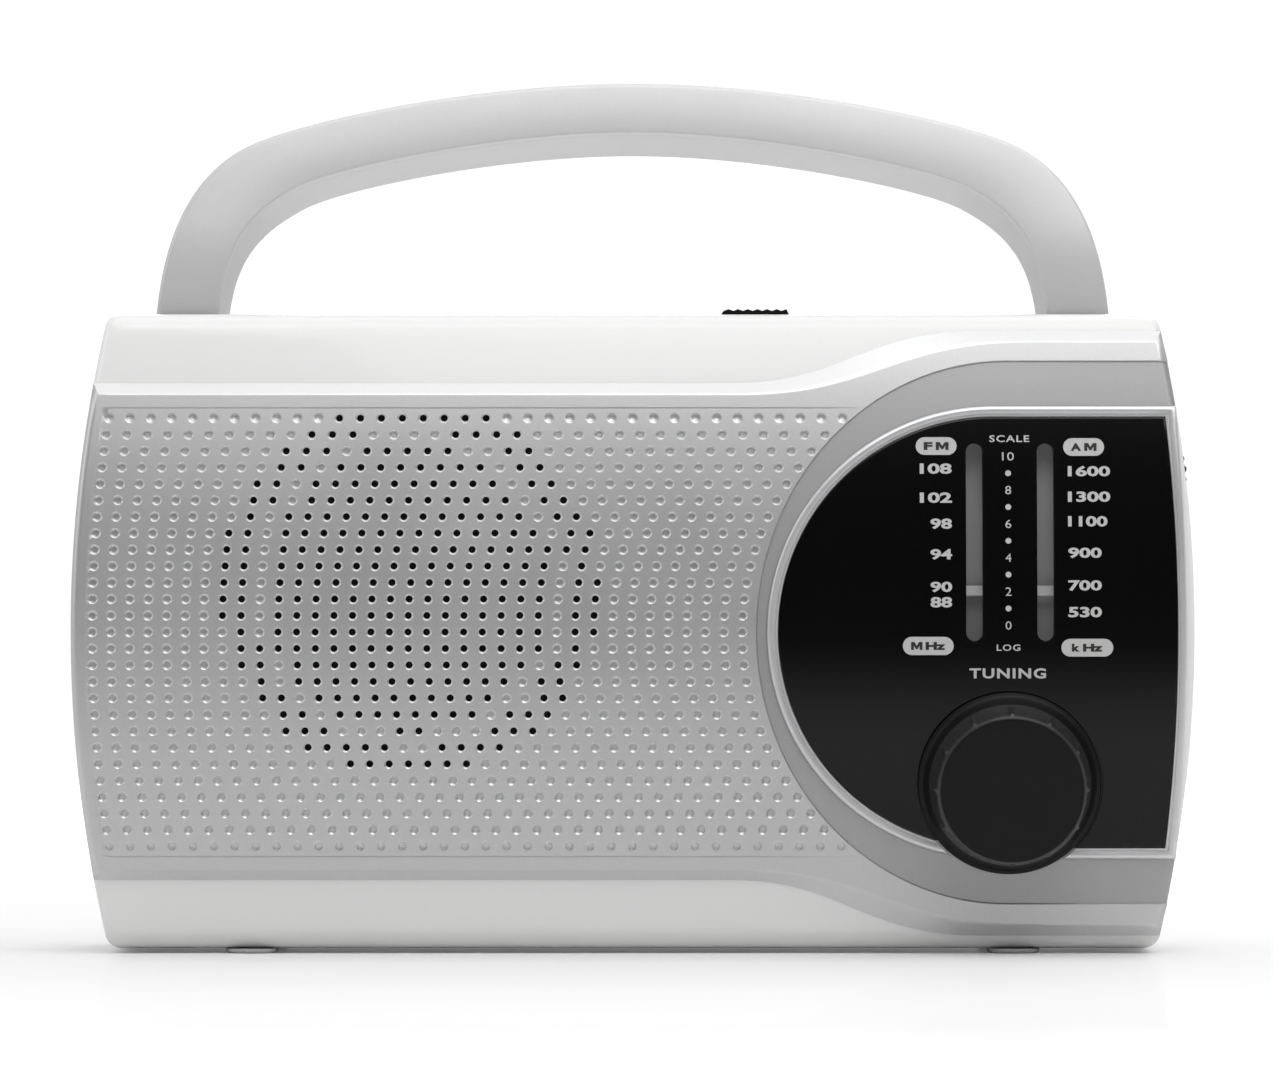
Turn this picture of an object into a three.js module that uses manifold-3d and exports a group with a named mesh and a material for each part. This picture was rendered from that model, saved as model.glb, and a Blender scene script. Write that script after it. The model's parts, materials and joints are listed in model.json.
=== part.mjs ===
// Portable AM/FM radio with a carry handle, built as an assembly of separate pieces.
// Millimetres, +Z up, front towards -Y, +X to the right as seen from the front.
import * as THREE from "three";
import { mergeVertices } from "three/addons/utils/BufferGeometryUtils.js";
import Module from "manifold-3d";

const wasm = await Module();
wasm.setup();

// ---- Driving dimensions -------------------------------------------------------------------
const HALF_WIDTH = 114;        // half the width of the cabinet at mid height
const END_RADIUS = 298;        // the ends bulge like a barrel
const BODY_BOTTOM = 1;
const BODY_TOP = 130.4;        // top of the rim behind the front face
const MID = (BODY_BOTTOM + BODY_TOP) / 2;
const FRONT = -28.85;          // most forward line of the front face
const BACK = FRONT + 70;
const FRONT_RADIUS = 240;      // the front face is a shallow arc in side view
const BAND_SETBACK = 1.6;      // white bands lie this far behind the raised middle zone
const WALL = 2.2;
const PARTING = 6;             // plane where the front cabinet meets the rear cover
const RIM_BACK = -8;           // rear edge of the top rim
const DECK_TOP = 116.5;        // lower deck on which the handle folds
const LEDGE_FRONT = 33;        // rear ledge that holds the antenna
const LEDGE_TOP = 107;
const FIT = 0.3;               // clearance between loose pieces
const HAIR = 0.05;             // clearance between pieces that are fixed together
const FAR = 200;               // longer than any piece, for cutting tools

const PIVOT = { y: 6, z: 124.5 };            // handle pivot
const HANDLE_FRONT = -13;                    // handle faces, from the pivot
const HANDLE_SEAM = -5;
const HANDLE_REAR = 7;
const MAST = { x: 104.5, y: 37, z: 111.4 };   // where the antenna tilts and swivels
const SPEAKER = { x: -44.9, z: 73.8 };
const GRILLE = { halfWidth: 38.5, halfHeight: 35.2 };
const DIAL = { x: 73.2, radius: 43.7 };      // dial lens
const SCALE_X = 76.4;                        // centre line of the scale, the knob and the rail
const KNOB = { z: 34.9, y: -25.8, baseRadius: 18.8, faceRadius: 15.4, length: 13.8 };
const KNOB_TILT = THREE.MathUtils.degToRad(6);
const CORD_RADIUS = 34.3 / Math.PI;          // half a turn of the knob runs the whole scale
const POINTER_Z = 73.9;

const radio = new THREE.Group();

// ---- Making solids ------------------------------------------------------------------------
function signedVolume(positions, triangles) {
  let volume = 0;
  const corner = [new THREE.Vector3(), new THREE.Vector3(), new THREE.Vector3()];
  for (let i = 0; i < triangles.length; i += 3) {
    corner.forEach((point, k) => point.fromArray(positions, 3 * triangles[i + k]));
    volume += corner[0].dot(corner[1].cross(corner[2])) / 6;
  }
  return volume;
}

function solidOf(geometry) {
  const bare = geometry.clone();
  for (const name of Object.keys(bare.attributes)) {
    if (name !== "position") bare.deleteAttribute(name);
  }
  const merged = mergeVertices(bare, 1e-4);
  const vertProperties = new Float32Array(merged.attributes.position.array);
  const triVerts = new Uint32Array(merged.index.array);
  if (signedVolume(vertProperties, triVerts) < 0) {
    for (let i = 0; i < triVerts.length; i += 3) {
      [triVerts[i], triVerts[i + 1]] = [triVerts[i + 1], triVerts[i]];
    }
  }
  return new wasm.Manifold(new wasm.Mesh({ numProp: 3, vertProperties, triVerts }));
}

function geometryOf(solid) {
  const mesh = solid.getMesh();
  const geometry = new THREE.BufferGeometry();
  const position = new THREE.BufferAttribute(new Float32Array(mesh.vertProperties), 3);
  geometry.setAttribute("position", position);
  geometry.setIndex(new THREE.BufferAttribute(new Uint32Array(mesh.triVerts), 1));
  geometry.computeVertexNormals();
  return geometry;
}

function box(x0, x1, y0, y1, z0, z1) {
  const geometry = new THREE.BoxGeometry(x1 - x0, y1 - y0, z1 - z0);
  geometry.translate((x0 + x1) / 2, (y0 + y1) / 2, (z0 + z1) / 2);
  return solidOf(geometry);
}

// A round bar along "x", "y" or "z" from start to end; across gives its other two coordinates.
function rod(axis, radius, start, end, across, segments = 16) {
  const geometry = new THREE.CylinderGeometry(radius, radius, end - start, segments);
  const middle = (start + end) / 2;
  if (axis === "x") {
    geometry.rotateZ(Math.PI / 2);
    geometry.translate(middle, across[0], across[1]);
  } else if (axis === "y") {
    geometry.translate(across[0], middle, across[1]);
  } else {
    geometry.rotateX(Math.PI / 2);
    geometry.translate(across[0], across[1], middle);
  }
  return solidOf(geometry);
}

// A ring or cup turned about an axis along Y, from [radius, y] pairs.
function turned(profile, x = 0, z = 0, segments = 24) {
  const points = profile.map(([radius, y]) => new THREE.Vector2(radius, y));
  const geometry = new THREE.LatheGeometry(points, segments);
  geometry.translate(x, 0, z);
  return solidOf(geometry);
}

// An outline drawn in X and Z, as thick as the space between two planes across Y.
function plate(outline, front, back, curveSegments = 10) {
  const options = { depth: back - front, bevelEnabled: false, curveSegments };
  const geometry = new THREE.ExtrudeGeometry(outline, options);
  geometry.rotateX(Math.PI / 2);
  geometry.translate(0, back, 0);
  return solidOf(geometry);
}

// An outline drawn in Y and Z, as long as the space between two planes across X.
const CROSSWISE = new THREE.Matrix4().set(0, 0, 1, 0, 1, 0, 0, 0, 0, 1, 0, 0, 0, 0, 0, 1);
function bar(outline, left, right, curveSegments = 6) {
  const options = { depth: right - left, bevelEnabled: false, curveSegments };
  const geometry = new THREE.ExtrudeGeometry(outline, options);
  geometry.applyMatrix4(CROSSWISE);
  geometry.translate(left, 0, 0);
  return solidOf(geometry);
}

function finish(color, roughness, metalness = 0) {
  return { color, roughness, metalness };
}
const WHITE_PLASTIC = finish(0xe9e9e7, 0.25);
const SILVER_PAINT = finish(0xb9babb, 0.4, 0.6);
const DARK_SILVER = finish(0x8b8c8e, 0.5, 0.6);
const BRIGHT_TRIM = finish(0xc4c5c6, 0.25, 0.9);
const BLACK_GLOSS = finish(0x060606, 0.08);
const BLACK_SATIN = finish(0x101010, 0.45);
const STEEL = finish(0x9a9ca0, 0.35, 1);
const BRASS = finish(0xb9964f, 0.35, 1);
const CIRCUIT_BOARD = finish(0x8a6a35, 0.6);
const RUBBER = finish(0x2a2a2a, 0.9);

function addPart(name, shape, look, parent = radio) {
  const geometry = shape.isBufferGeometry ? shape : geometryOf(shape);
  const mesh = new THREE.Mesh(geometry, new THREE.MeshStandardMaterial(look));
  mesh.name = name;
  parent.add(mesh);
  return mesh;
}

// ---- Outlines of the cabinet --------------------------------------------------------------
// The front face is an arc in side view, made of flat facets that every layer on it shares.
const FACET = 10.8;

function frontY(z, offset) {
  const arc = (height) => FRONT_RADIUS - Math.sqrt(FRONT_RADIUS ** 2 - (height - MID) ** 2);
  const below = MID + Math.floor((z - MID) / FACET) * FACET;
  const share = (z - below) / FACET;
  return FRONT + offset + arc(below) * (1 - share) + arc(below + FACET) * share;
}

// Heights between low and high where one facet of the front face meets the next.
function facetHeights(low, high) {
  const heights = [];
  const first = Math.ceil((low + 0.01 - MID) / FACET);
  for (let k = first; MID + k * FACET < high - 0.01; k += 1) heights.push(MID + k * FACET);
  return [low, ...heights, high];
}

// Front view: two bulging ends between a flat bottom and a flat top.
function barrel(inset) {
  const radius = END_RADIUS - inset;
  const halfHeight = MID - BODY_BOTTOM - inset;
  const swing = Math.asin(halfHeight / radius);
  const outline = new THREE.Shape();
  outline.absarc(HALF_WIDTH - END_RADIUS, MID, radius, -swing, swing, false);
  outline.absarc(END_RADIUS - HALF_WIDTH, MID, radius, Math.PI - swing, Math.PI + swing, false);
  return outline;
}

// Side view: curved front, top rim, handle deck, antenna ledge and flat back.
function sideProfile(inset) {
  const bottom = BODY_BOTTOM + inset;
  const top = BODY_TOP - inset;
  const back = BACK - inset;
  const topRound = 3;
  const bottomRound = 4.5;
  const outline = new THREE.Shape();
  const low = bottom + bottomRound;
  const high = top - topRound;
  outline.moveTo(frontY(low, BAND_SETBACK + inset), low);
  for (const z of facetHeights(low, high).slice(1)) {
    outline.lineTo(frontY(z, BAND_SETBACK + inset), z);
  }
  const brow = frontY(top, BAND_SETBACK + inset);
  outline.quadraticCurveTo(brow, top, brow + topRound, top);
  outline.lineTo(RIM_BACK - inset, top);
  outline.lineTo(RIM_BACK - inset, DECK_TOP - inset);
  outline.lineTo(LEDGE_FRONT - inset, DECK_TOP - inset);
  outline.lineTo(LEDGE_FRONT - inset, LEDGE_TOP - inset);
  outline.lineTo(back, LEDGE_TOP - inset);
  outline.lineTo(back, low);
  outline.quadraticCurveTo(back, bottom, back - bottomRound, bottom);
  const chin = frontY(bottom, BAND_SETBACK + inset);
  outline.lineTo(chin + bottomRound, bottom);
  outline.quadraticCurveTo(chin, bottom, frontY(low, BAND_SETBACK + inset), low);
  return outline;
}

function cabinetForm(inset) {
  const length = bar(sideProfile(inset), -FAR, FAR);
  return length.intersect(plate(barrel(inset), -FAR, FAR));
}

// A curved layer that follows the front face between two depths behind it.
function skin(near, far) {
  const heights = facetHeights(BODY_BOTTOM - 1, BODY_TOP + 1);
  const ahead = heights.map((z) => new THREE.Vector2(frontY(z, near), z));
  const behind = heights.map((z) => new THREE.Vector2(frontY(z, far), z));
  return bar(new THREE.Shape([...ahead, ...behind.reverse()]), -FAR, FAR);
}

// Raised middle zone: narrow on the loudspeaker side, wider round the dial.
function raisedZone() {
  const speakerSide = { low: 16.2, high: 114.9 };
  const dialSide = { low: 5, high: 125.6 };
  const bend = { from: 18, to: 70, pull: 25 };
  const outline = new THREE.Shape();
  outline.moveTo(-FAR, speakerSide.low);
  outline.lineTo(bend.from, speakerSide.low);
  outline.bezierCurveTo(bend.from + bend.pull, speakerSide.low, bend.to - bend.pull, dialSide.low,
    bend.to, dialSide.low);
  outline.lineTo(FAR, dialSide.low);
  outline.lineTo(FAR, dialSide.high);
  outline.lineTo(bend.to, dialSide.high);
  outline.bezierCurveTo(bend.to - bend.pull, dialSide.high, bend.from + bend.pull, speakerSide.high,
    bend.from, speakerSide.high);
  outline.lineTo(-FAR, speakerSide.high);
  return outline;
}

// Dial outline: round on the left, nearly straight on the right.
function dialOutline(radius, cornerX, bulgeX) {
  const outline = new THREE.Shape();
  outline.absarc(DIAL.x, MID, radius, Math.PI / 2, 1.5 * Math.PI, false);
  outline.lineTo(cornerX, MID - radius);
  outline.quadraticCurveTo(2 * bulgeX - cornerX, MID, cornerX, MID + radius);
  return outline;
}

function surroundOutline(gap) {
  const outline = new THREE.Shape();
  outline.absellipse(DIAL.x, MID, 48 + gap, 55 + gap, Math.PI / 2, 1.5 * Math.PI, false);
  outline.lineTo(FAR, MID - 55 - gap);
  outline.lineTo(FAR, MID + 55 + gap);
  return outline;
}

function circle(x, z, radius) {
  const outline = new THREE.Shape();
  outline.absarc(x, z, radius, 0, 2 * Math.PI, false);
  return outline;
}

function ellipse(x, z, halfWidth, halfHeight) {
  const outline = new THREE.Shape();
  outline.absellipse(x, z, halfWidth, halfHeight, 0, 2 * Math.PI, false);
  return outline;
}

// ---- Tuning axis: everything turned about the knob sits in one tilted group -----------------
const tuning = new THREE.Group();
tuning.position.set(SCALE_X, KNOB.y, KNOB.z);
tuning.rotation.x = KNOB_TILT;
radio.add(tuning);
tuning.updateMatrix();

function alongKnob(radius, start, end, segments = 32) {
  const geometry = new THREE.CylinderGeometry(radius, radius, end - start, segments);
  geometry.translate(0, (start + end) / 2, 0);
  geometry.applyMatrix4(tuning.matrix);
  return solidOf(geometry);
}

// ---- Cabinet: front half and rear cover -----------------------------------------------------
const WELL = { left: -60, right: 48, front: 11.3, low: 7.6, high: 60.6 };
const DOOR = { left: -62, right: 50, low: 6.3, high: 62.3, thickness: 2.2 };
const INLET = { x: -84, z: 68, halfWidth: 8.6, halfHeight: 4.8 };
const JACK = { y: 16, z: 98, holeRadius: 4.3 };
const WHEEL = { x: 102.9, y: -6, z: 98, radius: 11, width: 3.4 };
const SCREWS = [[-100, 14], [100, 14], [-104, 70], [104, 70]];
const SWITCH = { left: 12.7, right: 37.3, y: -13.6, halfWidth: 2.2 };
const BOSS_RADIUS = 5;
const LUGS = [[79.9, 84], [99.3, 103.2]];

const wellSpace = box(WELL.left, WELL.right, WELL.front, FAR, WELL.low, WELL.high);
const wellWalls = box(WELL.left - WALL, WELL.right + WALL, WELL.front - WALL, FAR, WELL.low - WALL,
  WELL.high + WALL);
const doorSeat = box(DOOR.left - FIT, DOOR.right + FIT, BACK - DOOR.thickness - HAIR, FAR,
  DOOR.low - 0.6, DOOR.high + FIT);

let shell = cabinetForm(0).subtract(cabinetForm(WALL).subtract(wellWalls));
shell = shell.subtract(wellSpace).subtract(doorSeat);

// Lugs on the deck that carry the handle pins.
for (const side of [-1, 1]) {
  for (const [near, far] of LUGS) {
    const outline = new THREE.Shape();
    outline.moveTo(PIVOT.y - 5, DECK_TOP - 1);
    outline.lineTo(PIVOT.y + 5, DECK_TOP - 1);
    outline.lineTo(PIVOT.y + 4.5, PIVOT.z);
    outline.absarc(PIVOT.y, PIVOT.z, 4.5, 0, Math.PI, false);
    const [left, right] = side < 0 ? [-far, -near] : [near, far];
    shell = shell.add(bar(outline, left, right));
  }
}
shell = shell.subtract(rod("x", 2.05, -FAR, FAR, [PIVOT.y, PIVOT.z], 12));

// Screw pillars: a tunnel in the rear cover and a threaded post in the front cabinet.
const inside = cabinetForm(WALL / 2);
for (const [x, z] of SCREWS) {
  shell = shell.add(rod("y", BOSS_RADIUS, -FAR, FAR, [x, z]).intersect(inside));
  shell = shell.subtract(rod("y", 3.4, PARTING + 4, FAR, [x, z]));
  shell = shell.subtract(rod("y", 1.7, PARTING - 14, FAR, [x, z], 12));
}

const frontHalf = box(-FAR, FAR, -FAR, PARTING - HAIR, -FAR, FAR);
const rearHalf = box(-FAR, FAR, PARTING + HAIR, FAR, -FAR, FAR);

// Front cabinet: loudspeaker opening and seat, dial window, knob hole, wheel slot, switch slot.
const speakerOpening = ellipse(SPEAKER.x, SPEAKER.z, GRILLE.halfWidth + 0.5, GRILLE.halfHeight + 0.8);
const SEAT_BACK = -19.8;
let seat = plate(circle(SPEAKER.x, SPEAKER.z, 41.5), -30, SEAT_BACK);
const speakerScrewPlaces = [30, 150, 270].map((angle) => {
  const turn = THREE.MathUtils.degToRad(angle);
  return [SPEAKER.x + 43.4 * Math.cos(turn), SPEAKER.z + 43.4 * Math.sin(turn)];
});
for (const place of speakerScrewPlaces) seat = seat.add(rod("y", 3.4, -30, -18.6, place));
seat = seat.intersect(skin(BAND_SETBACK + 1, FAR));
let frontCabinet = shell.intersect(frontHalf).add(seat);
frontCabinet = frontCabinet.subtract(plate(speakerOpening, -FAR, 0));
for (const place of speakerScrewPlaces) {
  frontCabinet = frontCabinet.subtract(rod("y", 1.5, -21.6, 0, place, 10));
}
const speakerSpace = turned([[0, SEAT_BACK], [40.4, SEAT_BACK], [40.4, -18], [0, -18]],
  SPEAKER.x, SPEAKER.z, 32);
frontCabinet = frontCabinet.subtract(speakerSpace);
frontCabinet = frontCabinet.subtract(box(62, 88, -FAR, 0, 60, 109.5));
frontCabinet = frontCabinet.subtract(alongKnob(5.2, -10, 8));
frontCabinet = frontCabinet.subtract(rod("y", WHEEL.radius + 0.7, WHEEL.y - 0.6,
  WHEEL.y + WHEEL.width + 0.6, [WHEEL.x, WHEEL.z], 32).intersect(box(105, FAR, -FAR, FAR, 0, FAR)));
frontCabinet = frontCabinet.subtract(box(SWITCH.left, SWITCH.right, SWITCH.y - SWITCH.halfWidth,
  SWITCH.y + SWITCH.halfWidth, BODY_TOP - 5, FAR));
addPart("front_cabinet", frontCabinet, WHITE_PLASTIC);

// Rear cover: inlet opening and headphone hole.
let rearCover = shell.intersect(rearHalf);
rearCover = rearCover.subtract(box(INLET.x - INLET.halfWidth, INLET.x + INLET.halfWidth, BACK - 6, FAR,
  INLET.z - INLET.halfHeight, INLET.z + INLET.halfHeight));
rearCover = rearCover.subtract(rod("x", JACK.holeRadius, -FAR, -105, [JACK.y, JACK.z]));
rearCover = rearCover.subtract(rod("z", 2.6, LEDGE_TOP - 6, FAR, [MAST.x, MAST.y], 16));
addPart("rear_cover", rearCover, WHITE_PLASTIC);

// ---- Front face: grille panel, surround, bead, lens -----------------------------------------
const endShape = plate(barrel(0.3), -FAR, FAR);
const knobDish = alongKnob(KNOB.baseRadius + 0.7, -20, 20);
const layerBack = BAND_SETBACK - HAIR;

// Perforation: a disc and an outer ring of holes, with a blind ring between them.
function isOpenHole(x, z) {
  const reach = Math.hypot((x - SPEAKER.x) / GRILLE.halfWidth, (z - SPEAKER.z) / GRILLE.halfHeight);
  return reach < 0.82 || (reach > 0.89 && reach < 1);
}
const HOLE_PITCH_X = 7;
const HOLE_PITCH_Z = 6.7;
let perforation = null;
for (let row = -5; row <= 5; row += 1) {
  for (let column = -6; column <= 6; column += 1) {
    const x = SPEAKER.x + (column + (row % 2 === 0 ? 0 : 0.5)) * HOLE_PITCH_X;
    const z = SPEAKER.z + row * HOLE_PITCH_Z;
    if (!isOpenHole(x, z)) continue;
    const hole = rod("y", 1.6, -FAR, 0, [x, z], 4);
    perforation = perforation ? perforation.add(hole) : hole;
  }
}
let grillePanel = skin(0, layerBack).intersect(plate(raisedZone(), -FAR, FAR)).intersect(endShape);
grillePanel = grillePanel.subtract(plate(surroundOutline(HAIR), -FAR, FAR)).subtract(perforation);
addPart("grille_panel", grillePanel, SILVER_PAINT);

const clothOutline = ellipse(SPEAKER.x, SPEAKER.z, GRILLE.halfWidth, GRILLE.halfHeight + 0.4);
const cloth = skin(BAND_SETBACK + 0.05, BAND_SETBACK + 0.5).intersect(plate(clothOutline, -FAR, 0));
addPart("grille_cloth", cloth, finish(0x0c0c0c, 0.95));

const BEAD_RADIUS = 46;
const beadOutline = dialOutline(BEAD_RADIUS, 110.3, 112.2);
let surround = skin(0.4, layerBack).intersect(plate(surroundOutline(0), -FAR, FAR));
const insideBead = plate(dialOutline(BEAD_RADIUS + HAIR, FAR, FAR), -FAR, FAR);
surround = surround.intersect(endShape).subtract(insideBead);
surround = surround.subtract(knobDish);
addPart("dial_surround", surround, DARK_SILVER);

const lensOutline = dialOutline(DIAL.radius, 108, 110.4);
let bead = skin(-0.7, layerBack).intersect(plate(beadOutline, -FAR, FAR));
bead = bead.subtract(plate(dialOutline(DIAL.radius + HAIR, 108 + HAIR, 110.4 + HAIR), -FAR, FAR));
bead = bead.subtract(knobDish);
addPart("dial_bead", bead, BRIGHT_TRIM);

const SLOTS = [SCALE_X - 7.2, SCALE_X + 7.2];
const SLOT = { halfWidth: 1.65, low: 63.7, high: 103.7 };
let lens = skin(-0.3, layerBack).intersect(plate(lensOutline, -FAR, FAR)).subtract(knobDish);
for (const x of SLOTS) {
  const slot = new THREE.Shape();
  slot.absarc(x, SLOT.high - SLOT.halfWidth, SLOT.halfWidth, 0, Math.PI, false);
  slot.absarc(x, SLOT.low + SLOT.halfWidth, SLOT.halfWidth, Math.PI, 2 * Math.PI, false);
  lens = lens.subtract(plate(slot, -FAR, 0, 6));
}
addPart("dial_lens", lens, BLACK_GLOSS);

// ---- Dial works: backing plate with rail, pointer, idler and cord ------------------------------
const RAIL = { y: -22.4, radius: 0.8, low: 58, high: 109 };
const BACKING = { front: -20.4, back: -19.6 };
let backing = box(67.4, 86, BACKING.front, BACKING.back, 54, 110.4);
for (const z of [57.6, 107]) {
  backing = backing.add(box(SCALE_X - 1.5, SCALE_X + 1.5, -23.3, BACKING.front, z, z + 2));
}
for (const x of [69, 84.4]) {
  backing = backing.add(rod("y", 1.4, -24.5, BACKING.front, [x, 56], 10));
}
backing = backing.subtract(rod("z", RAIL.radius + HAIR, RAIL.low, RAIL.high, [SCALE_X, RAIL.y], 12));
addPart("dial_backing_plate", backing, finish(0x8d8d8d, 0.6));
const rail = rod("z", RAIL.radius, RAIL.low + 0.1, RAIL.high - 0.1, [SCALE_X, RAIL.y], 12);
addPart("pointer_rail", rail, STEEL);

const cordLeft = SCALE_X - CORD_RADIUS;
const CORD_Y = KNOB.y + 9 * Math.cos(KNOB_TILT);
let pointer = box(66.8, 86, -24, -23.2, POINTER_Z - 1, POINTER_Z + 1);
pointer = pointer.add(box(SCALE_X - 1.5, SCALE_X + 1.5, -23.9, -21.2, POINTER_Z - 2.5, POINTER_Z + 2.5));
pointer = pointer.add(box(64, 76, -23.5, -21.9, POINTER_Z - 1, POINTER_Z + 1));
pointer = pointer.add(box(64, 66.9, -23.4, CORD_Y + 1.3, POINTER_Z - 1, POINTER_Z + 1));
pointer = pointer.subtract(rod("z", RAIL.radius + 0.08, 0, FAR, [SCALE_X, RAIL.y], 12));
pointer = pointer.subtract(rod("z", 0.7, 0, FAR, [cordLeft, CORD_Y], 8));
addPart("tuning_pointer", pointer, finish(0xd0d0cf, 0.5));

const IDLER = { x: cordLeft + 4, z: 110, cordRadius: 4 };
const idler = turned([[1.1, CORD_Y - 1.6], [4.7, CORD_Y - 1.6], [3, CORD_Y - 0.4], [3, CORD_Y + 0.4],
  [4.7, CORD_Y + 1.6], [1.1, CORD_Y + 1.6], [1.1, CORD_Y - 1.6]], IDLER.x, IDLER.z, 20);
addPart("idler_pulley", idler, finish(0xdad6c8, 0.5));
addPart("idler_pin", rod("y", 1, CORD_Y - 2.6, CORD_Y + 2.6, [IDLER.x, IDLER.z], 10), STEEL);

// ---- Tuning knob, spindle, drum and capacitor, in the tilted group ---------------------------
const drumMiddle = 9;
const KNOB_BORE = 3.05;
const SPINDLE = 3;
const { baseRadius, faceRadius, length } = KNOB;
let knob = turned([[KNOB_BORE, 0], [baseRadius, 0], [baseRadius, -1.4], [baseRadius - 1.5, -3],
  [faceRadius + 0.6, -length + 1.2], [faceRadius - 0.6, -length], [0, -length], [0, -length + 3],
  [KNOB_BORE, -length + 3], [KNOB_BORE, 0]], 0, 0, 36);
const NOTCHES = 12;
for (let i = 0; i < NOTCHES; i += 1) {
  const turn = (i + 0.5) * (2 * Math.PI / NOTCHES);
  const ring = faceRadius + 1.6;
  knob = knob.subtract(rod("y", 1.2, -length - 1, -length + 6,
    [ring * Math.cos(turn), ring * Math.sin(turn)], 6));
}
addPart("tuning_knob", knob, BLACK_SATIN, tuning);
addPart("tuning_spindle", rod("y", SPINDLE, -length + 3.4, 16, [0, 0], 16), BRASS, tuning);
const bush = turned([[3.1, 0.6], [4.7, 0.6], [4.7, 4.6], [3.1, 4.6], [3.1, 0.6]], 0, 0, 16);
addPart("spindle_bush", bush, BRASS, tuning);
const drum = turned([[3.05, drumMiddle - 1.8], [12, drumMiddle - 1.8], [10, drumMiddle - 0.9],
  [10, drumMiddle + 0.9], [12, drumMiddle + 1.8], [3.05, drumMiddle + 1.8],
  [3.05, drumMiddle - 1.8]], 0, 0, 32);
addPart("cord_drum", drum, finish(0xdad6c8, 0.5), tuning);
const capacitor = box(-10, 10, 13, 26, -10, 10).add(box(-4, 4, 26, 26.6, -8, 8))
  .subtract(rod("y", 3.1, 0, 18, [0, 0], 16));
addPart("tuning_capacitor", capacitor, finish(0xb9c4c9, 0.35), tuning);
addPart("tuning_board", box(-17, 17, 26.9, 28.5, -16, 16), CIRCUIT_BOARD, tuning);

// Dial cord: up to the idler, over it and back round the drum, its two ends tied below.
function cordPath() {
  const drumCentre = new THREE.Vector3(0, drumMiddle, 0).applyMatrix4(tuning.matrix);
  const points = [];
  const onDrum = (degrees) => {
    const turn = THREE.MathUtils.degToRad(degrees);
    const place = new THREE.Vector3(CORD_RADIUS * Math.cos(turn), drumMiddle, CORD_RADIUS * Math.sin(turn));
    return place.applyMatrix4(tuning.matrix);
  };
  for (let degrees = 260; degrees >= 180; degrees -= 16) points.push(onDrum(degrees));
  for (let degrees = 180; degrees >= 0; degrees -= 20) {
    const turn = THREE.MathUtils.degToRad(degrees);
    points.push(new THREE.Vector3(IDLER.x + IDLER.cordRadius * Math.cos(turn), drumCentre.y,
      IDLER.z + IDLER.cordRadius * Math.sin(turn)));
  }
  for (let degrees = 0; degrees >= -80; degrees -= 16) points.push(onDrum(degrees));
  const path = new THREE.CurvePath();
  for (let i = 1; i < points.length; i += 1) path.add(new THREE.LineCurve3(points[i - 1], points[i]));
  return path;
}
const cordSection = new THREE.Shape();
for (let i = 0; i < 5; i += 1) {
  const turn = i * 2 * Math.PI / 5;
  const corner = [0.35 * Math.cos(turn), 0.35 * Math.sin(turn)];
  if (i === 0) cordSection.moveTo(...corner);
  else cordSection.lineTo(...corner);
}
const cordSweep = { steps: 66, extrudePath: cordPath(), bevelEnabled: false };
const cord = new THREE.ExtrudeGeometry(cordSection, cordSweep);
addPart("dial_cord", solidOf(cord), finish(0xd9d4c4, 0.9));

// ---- Loudspeaker ----------------------------------------------------------------------------
const basket = turned([[40, -19.7], [40, -18.6], [35, -18.6], [19, -6.6], [19, -5], [6, -5],
  [6, -6.2], [17.8, -6.2], [17.8, -7.2], [34.4, -19.7], [40, -19.7]], SPEAKER.x, SPEAKER.z, 32);
addPart("speaker_basket", basket, STEEL);
const cone = turned([[34, -19.6], [32, -21], [30, -19.8], [11.5, -10.8], [11.5, -10.2], [30.4, -19.2],
  [32, -20.2], [33.6, -19.2], [34, -19.6]], SPEAKER.x, SPEAKER.z, 32);
addPart("speaker_cone", cone, finish(0x1c1b1a, 0.9));
const dustCap = turned([[0, -14.6], [5, -14.1], [9, -12.9], [11.2, -11.2], [11.2, -10.4], [8.8, -12.2],
  [4.8, -13.4], [0, -13.9]], SPEAKER.x, SPEAKER.z, 20);
addPart("speaker_dust_cap", dustCap, finish(0x161616, 0.8));
const magnet = turned([[0, -4.7], [18, -4.7], [18, 3.6], [0, 3.6]], SPEAKER.x, SPEAKER.z, 24);
addPart("speaker_magnet", magnet, finish(0x2c2c2e, 0.6, 0.5));
speakerScrewPlaces.forEach(([x, z], i) => {
  const screw = turned([[0, -21.4], [1.2, -21.4], [1.2, -18.4], [4.6, -18.4], [4.6, -17.6], [2.4, -17],
    [0, -17]], x, z, 12);
  addPart(`speaker_screw_${i + 1}`, screw, STEEL);
});

// ---- Electronics ----------------------------------------------------------------------------
addPart("main_board", box(2, 96.5, 2, 3.6, 66, 111), CIRCUIT_BOARD);
const pot = rod("y", 6.5, -2.2, 1.9, [WHEEL.x, WHEEL.z], 20)
  .add(rod("y", 1.5, WHEEL.y - 1, 0, [WHEEL.x, WHEEL.z], 12));
addPart("volume_control", pot, finish(0x8f9296, 0.4, 0.8));
const wheelShape = new THREE.Shape();
const KNURLS = 30;
for (let i = 0; i < 2 * KNURLS; i += 1) {
  const turn = i * Math.PI / KNURLS;
  const reach = WHEEL.radius - (i % 2) * 0.5;
  const corner = [reach * Math.cos(turn), reach * Math.sin(turn)];
  if (i === 0) wheelShape.moveTo(...corner);
  else wheelShape.lineTo(...corner);
}
wheelShape.holes.push(circle(0, 0, 1.6));
const wheel = addPart("volume_thumbwheel", plate(wheelShape, 0, WHEEL.width, 6), BLACK_SATIN);
wheel.position.set(WHEEL.x, WHEEL.y, WHEEL.z);

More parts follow.
